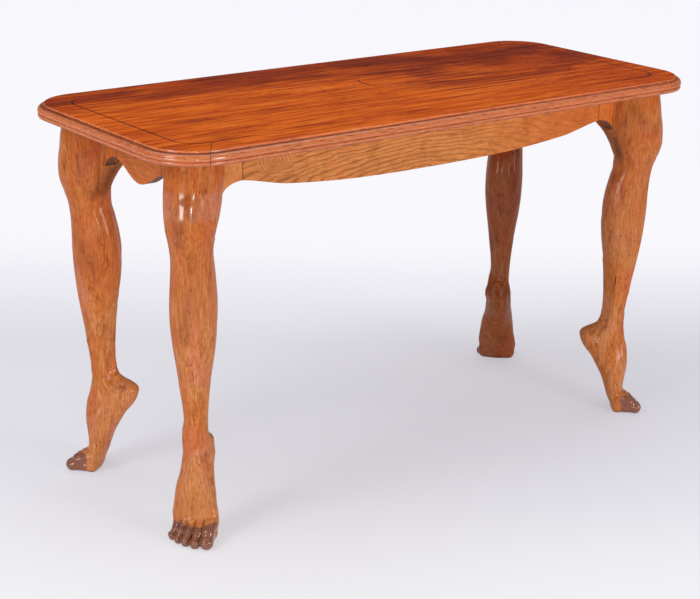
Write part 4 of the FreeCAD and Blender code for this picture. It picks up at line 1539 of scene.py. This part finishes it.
class ScrewTree:
    """A Geometry Nodes tree that sets a slotted wood screw on each point of a mesh, along its "heading"."""

    def __init__(self, finish: bpy.types.Material) -> None:
        """Build the tree.

        Args:
            finish: the steel of the screws.
        """
        self.tree = bpy.data.node_groups.new("wood_screws", "GeometryNodeTree")
        self.inputs = {}
        self.tree.interface.new_socket("Geometry", in_out="INPUT", socket_type="NodeSocketGeometry")
        for name in ("Reach", "Radius", "Head Radius", "Head Height", "Point", "Pitch"):
            made = self.tree.interface.new_socket(name, in_out="INPUT", socket_type="NodeSocketFloat")
            self.inputs[name] = made.identifier
        self.tree.interface.new_socket("Geometry", in_out="OUTPUT", socket_type="NodeSocketGeometry")
        self.source = self.tree.nodes.new("NodeGroupInput").outputs
        join = self.tree.nodes.new("GeometryNodeJoinGeometry")
        for part in self.parts():
            self.tree.links.new(part, join.inputs[0])
        heading = self.add("GeometryNodeInputNamedAttribute", {"data_type": "FLOAT_VECTOR"}, {"Name": "heading"})
        turn = self.add("FunctionNodeAlignRotationToVector", {"axis": "Z"}, {"Vector": heading})
        sockets = {"Points": self.source["Geometry"], "Instance": join.outputs[0], "Rotation": turn}
        placed = self.add("GeometryNodeInstanceOnPoints", {}, sockets)
        real = self.add("GeometryNodeRealizeInstances", {}, {"Geometry": placed})
        dressed = self.add("GeometryNodeSetMaterial", {}, {"Geometry": real, "Material": finish})
        self.tree.links.new(dressed, self.tree.nodes.new("NodeGroupOutput").inputs[0])

    def add(self, kind: str, settings: dict[str, Any], sockets: dict[Any, Any]) -> bpy.types.NodeSocket:
        """Add one node and give back its first output.

        Args:
            kind: the node's type.
            settings: its settings.
            sockets: what goes into its sockets, by name or by number.

        Returns:
            The node's first output.
        """
        made = self.tree.nodes.new(kind)
        for name, wanted in settings.items():
            setattr(made, name, wanted)
        for name, wanted in sockets.items():
            if isinstance(wanted, bpy.types.NodeSocket):
                self.tree.links.new(wanted, made.inputs[name])
            else:
                made.inputs[name].default_value = wanted
        return made.outputs[0]

    def sum(self, operation: str, first: Any, second: Any) -> bpy.types.NodeSocket:
        """One sum on two numbers."""
        return self.add("ShaderNodeMath", {"operation": operation}, {0: first, 1: second})

    def cone(self, low: Any, high: Any, height: Any, start: Any) -> bpy.types.NodeSocket:
        """A cone or cylinder on the screw's axis.

        Args:
            low: its radius at the start.
            high: its radius at the end.
            height: its length.
            start: how far from the head's face it starts.

        Returns:
            The solid.
        """
        sockets = {"Vertices": 24, "Radius Bottom": low, "Radius Top": high, "Depth": height}
        solid = self.add("GeometryNodeMeshCone", {}, sockets)
        return self.moved(solid, start)

    def moved(self, solid: bpy.types.NodeSocket, start: Any) -> bpy.types.NodeSocket:
        """Move a solid along the screw's axis."""
        shift = self.add("ShaderNodeCombineXYZ", {}, {"Z": start})
        return self.add("GeometryNodeTransform", {}, {"Geometry": solid, "Translation": shift})

    def parts(self) -> list[bpy.types.NodeSocket]:
        """The slotted head, the core, the thread and the point."""
        radius, head, head_height = (self.source[name] for name in ("Radius", "Head Radius", "Head Height"))
        core = self.sum("MULTIPLY", radius, 0.74)
        tip = self.sum("SUBTRACT", self.source["Reach"], self.source["Point"])
        shank = self.sum("SUBTRACT", tip, head_height)
        slot_size = self.add("ShaderNodeCombineXYZ", {}, {"X": 0.02, "Y": self.sum("MULTIPLY", head, 0.25), "Z": head})
        slot = self.add("GeometryNodeMeshCube", {}, {"Size": slot_size})
        solids = {0: self.cone(head, radius, head_height, 0.0), 1: slot}
        slotted = self.add("GeometryNodeMeshBoolean", {"operation": "DIFFERENCE"}, solids)
        turns = self.sum("DIVIDE", shank, self.source["Pitch"])
        sockets = {"Resolution": 16, "Rotations": turns, "Start Radius": core, "End Radius": core, "Height": shank}
        spiral = self.add("GeometryNodeCurveSpiral", {}, sockets)
        wire_radius = self.sum("MULTIPLY", radius, 0.25)
        wire = self.add("GeometryNodeCurvePrimitiveCircle", {}, {"Resolution": 4, "Radius": wire_radius})
        thread = self.add("GeometryNodeCurveToMesh", {}, {"Curve": spiral, "Profile Curve": wire, "Fill Caps": True})
        return [
            slotted,
            self.cone(core, core, shank, head_height),
            self.moved(thread, head_height),
            self.cone(core, 0.0, self.source["Point"], tip),
        ]


@dataclass
class WoodScrews:
    """The countersunk screws through the battens and the corner blocks."""

    nodes: dict[str, bpy.types.Object]
    radius: float = 0.0022
    head_radius: float = 0.0044
    head_height: float = 0.003
    point: float = 0.005
    pitch: float = 0.0019
    sharp: float = 35.0

    def build(self) -> None:
        """Set the screws of both groups."""
        steel = Steel().material("screw_steel")
        tree = ScrewTree(steel)
        for name in ("top_screws", "corner_block_screws"):
            self.group(name, tree, steel)

    def places(self, node: bpy.types.Object) -> tuple[np.ndarray, np.ndarray, float]:
        """Where the CAD's screws are: the middle of each head's face, the way each points, and their reach."""
        work = bmesh.new()
        work.from_mesh(node.data)
        bmesh.ops.remove_doubles(work, verts=work.verts, dist=WELD)
        left = set(work.verts)
        spots, headings, reach = [], [], 0.0
        while left:
            island = []
            stack = [min(left, key=lambda vertex: vertex.index)]
            left.discard(stack[0])
            while stack:
                vertex = stack.pop()
                island.append(vertex.co[:])
                for edge in vertex.link_edges:
                    other = edge.other_vert(vertex)
                    if other in left:
                        left.discard(other)
                        stack.append(other)
            points = np.array(island)
            middle = (points.min(axis=0) + points.max(axis=0)) / 2
            heading = np.linalg.svd(points - points.mean(axis=0))[2][0]
            along = (points - middle) @ heading
            off_axis = np.linalg.norm(points - middle - np.outer(along, heading), axis=1)
            if along[off_axis.argmax()] > 0:
                heading, along = -heading, -along
            head = points[along < along.min() + SAME_LEVEL]
            spots.append((head.min(axis=0) + head.max(axis=0)) / 2)
            headings.append(heading)
            reach = float(np.ptp(along))
        work.free()
        return np.array(spots), np.array(headings), reach

    def group(self, name: str, tree: ScrewTree, finish: bpy.types.Material) -> None:
        """Set the screws of one group.

        Args:
            name: the CAD node that they take the place of.
            tree: the tree that makes a screw.
            finish: the steel of the screws.
        """
        spots, headings, reach = self.places(self.nodes[name])
        piece = mesh_object("slotted_" + name, spots, [])
        layer = piece.data.attributes.new("heading", "FLOAT_VECTOR", "POINT")
        layer.data.foreach_set("vector", headings.astype(np.float32).ravel())
        sizes = {
            "Reach": reach,
            "Radius": self.radius,
            "Head Radius": self.head_radius,
            "Head Height": self.head_height,
            "Point": self.point,
            "Pitch": self.pitch,
        }
        step = piece.modifiers.new("wood_screws", "NODES")
        step.node_group = tree.tree
        for label, size in sizes.items():
            step[tree.inputs[label]] = size
        made_plain(piece)
        finished(piece.data, finish, self.sharp)
        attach(piece, "root")
        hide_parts(name)
        LOG.info("%s: %d screws, reach %.4f, %d faces", piece.name, len(spots), reach, len(piece.data.polygons))


@dataclass
class UnderFrame:
    """The battens and the corner blocks under the top."""

    nodes: dict[str, bpy.types.Object]

    def build(self) -> None:
        """Dress what lies under the top."""
        batten = HiddenWood(across_table=True).material("batten_wood")
        block = HiddenWood(across_table=False).material("block_wood")
        for name, node in self.nodes.items():
            if name.startswith("top_batten"):
                dress(node, batten)
            elif name.startswith("corner_block") and not name.endswith("screws"):
                dress(node, block)


def dress(node: bpy.types.Object, finish: bpy.types.Material) -> None:
    """Give a CAD piece its finish.

    Args:
        node: the piece.
        finish: the material of all its faces.
    """
    for slot in node.material_slots:
        slot.material = finish
    LOG.info("%s: %s", node.name, finish.name)


@dataclass(frozen=True)
class Lamp:
    """One soft lamp: its name, where it hangs, its width and height, and its power in watts."""

    name: str
    spot: tuple[float, float, float]
    size: tuple[float, float]
    power: float


@dataclass
class Studio:
    """The floor, the lamps and the camera. The lamps are a low and a high one at the left, one above, two in front."""

    floor_size: float = 40.0
    focal_pixels: float = 1654.1
    image_width: float = 700.0
    sensor: float = 36.0
    heading: float = 37.741
    dip: float = 18.849
    tilt: float = 1.137
    stand: tuple[float, float, float] = (-1.95143, -2.44972, 1.36345)
    room_colour: Colour = (0.95, 0.96, 1.0, 1.0)
    room_light: float = 0.22
    aim: tuple[float, float, float] = (0.0, 0.0, 0.45)
    lamps: tuple[Lamp, ...] = (
        Lamp("left_softbox", (-3.9, -1.0, 0.42), (1.3, 0.75), 35.0),
        Lamp("main_softbox", (-3.5, -0.35, 2.9), (1.3, 1.3), 48.0),
        Lamp("overhead", (0.4, 0.6, 3.8), (5.0, 4.0), 88.0),
        Lamp("front_softbox", (0.9, -4.2, 0.9), (1.4, 1.4), 84.0),
        Lamp("front_strip", (-2.0, -3.4, 0.4), (0.3, 0.5), 10.0),
    )

    def build(self) -> None:
        """Set up all of it."""
        self.floor()
        self.world()
        for lamp in self.lamps:
            self.hang(lamp)
        self.camera()

    def floor(self) -> None:
        """Lay the floor."""
        half = self.floor_size / 2
        spots = np.array(((-half, -half, 0.0), (half, -half, 0.0), (half, half, 0.0), (-half, half, 0.0)))
        floor = mesh_object("pale_floor", spots, np.array(((0, 1, 2, 3),)))
        floor.data.materials.append(PaleFloor(self.heading, self.stand[:2]).material("pale_floor_paint"))

    def world(self) -> None:
        """Fill the room with plain light."""
        world = bpy.data.worlds.new("room")
        world.use_nodes = True
        sockets = world.node_tree.nodes["Background"].inputs
        sockets["Color"].default_value = self.room_colour
        sockets["Strength"].default_value = self.room_light
        bpy.context.scene.world = world

    def hang(self, lamp: Lamp) -> None:
        """Hang one lamp so that it shines at the table."""
        data = bpy.data.lights.new(lamp.name, "AREA")
        data.shape = "RECTANGLE"
        data.size, data.size_y = lamp.size
        data.energy = lamp.power
        made = bpy.data.objects.new(lamp.name, data)
        made.location = lamp.spot
        toward = Vector(self.aim) - Vector(lamp.spot)
        made.rotation_euler = toward.to_track_quat("-Z", "Y").to_euler()
        bpy.context.scene.collection.objects.link(made)

    def camera(self) -> None:
        """Place the camera."""
        heading, dip, tilt = (math.radians(angle) for angle in (self.heading, self.dip, self.tilt))
        ahead = Vector((math.sin(heading) * math.cos(dip), math.cos(heading) * math.cos(dip), -math.sin(dip)))
        level = Vector((math.cos(heading), -math.sin(heading), 0.0))
        above = level.cross(ahead)
        right = level * math.cos(tilt) + above * math.sin(tilt)
        up = above * math.cos(tilt) - level * math.sin(tilt)
        turn = Matrix((right, up, -ahead)).transposed()
        data = bpy.data.cameras.new("camera")
        data.sensor_fit = "HORIZONTAL"
        data.sensor_width = self.sensor
        data.lens = self.focal_pixels * self.sensor / self.image_width
        camera = bpy.data.objects.new("camera", data)
        camera.matrix_world = Matrix.Translation(self.stand) @ turn.to_4x4()
        bpy.context.scene.collection.objects.link(camera)
        bpy.context.scene.camera = camera


def main() -> None:
    """Load the frame and build every part of the scene. The legs and the screws log their sizes."""
    logging.basicConfig(level=logging.INFO, format="%(message)s")
    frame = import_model()
    nodes = frame["nodes"]
    bpy.context.scene.view_settings.view_transform = "Standard"
    Studio().build()
    TableTop(nodes).build()
    Aprons(nodes).build()
    UnderFrame(nodes).build()
    WoodScrews(nodes).build()
    CarvedLegs(nodes).build()


if __name__ == "__main__":
    main()
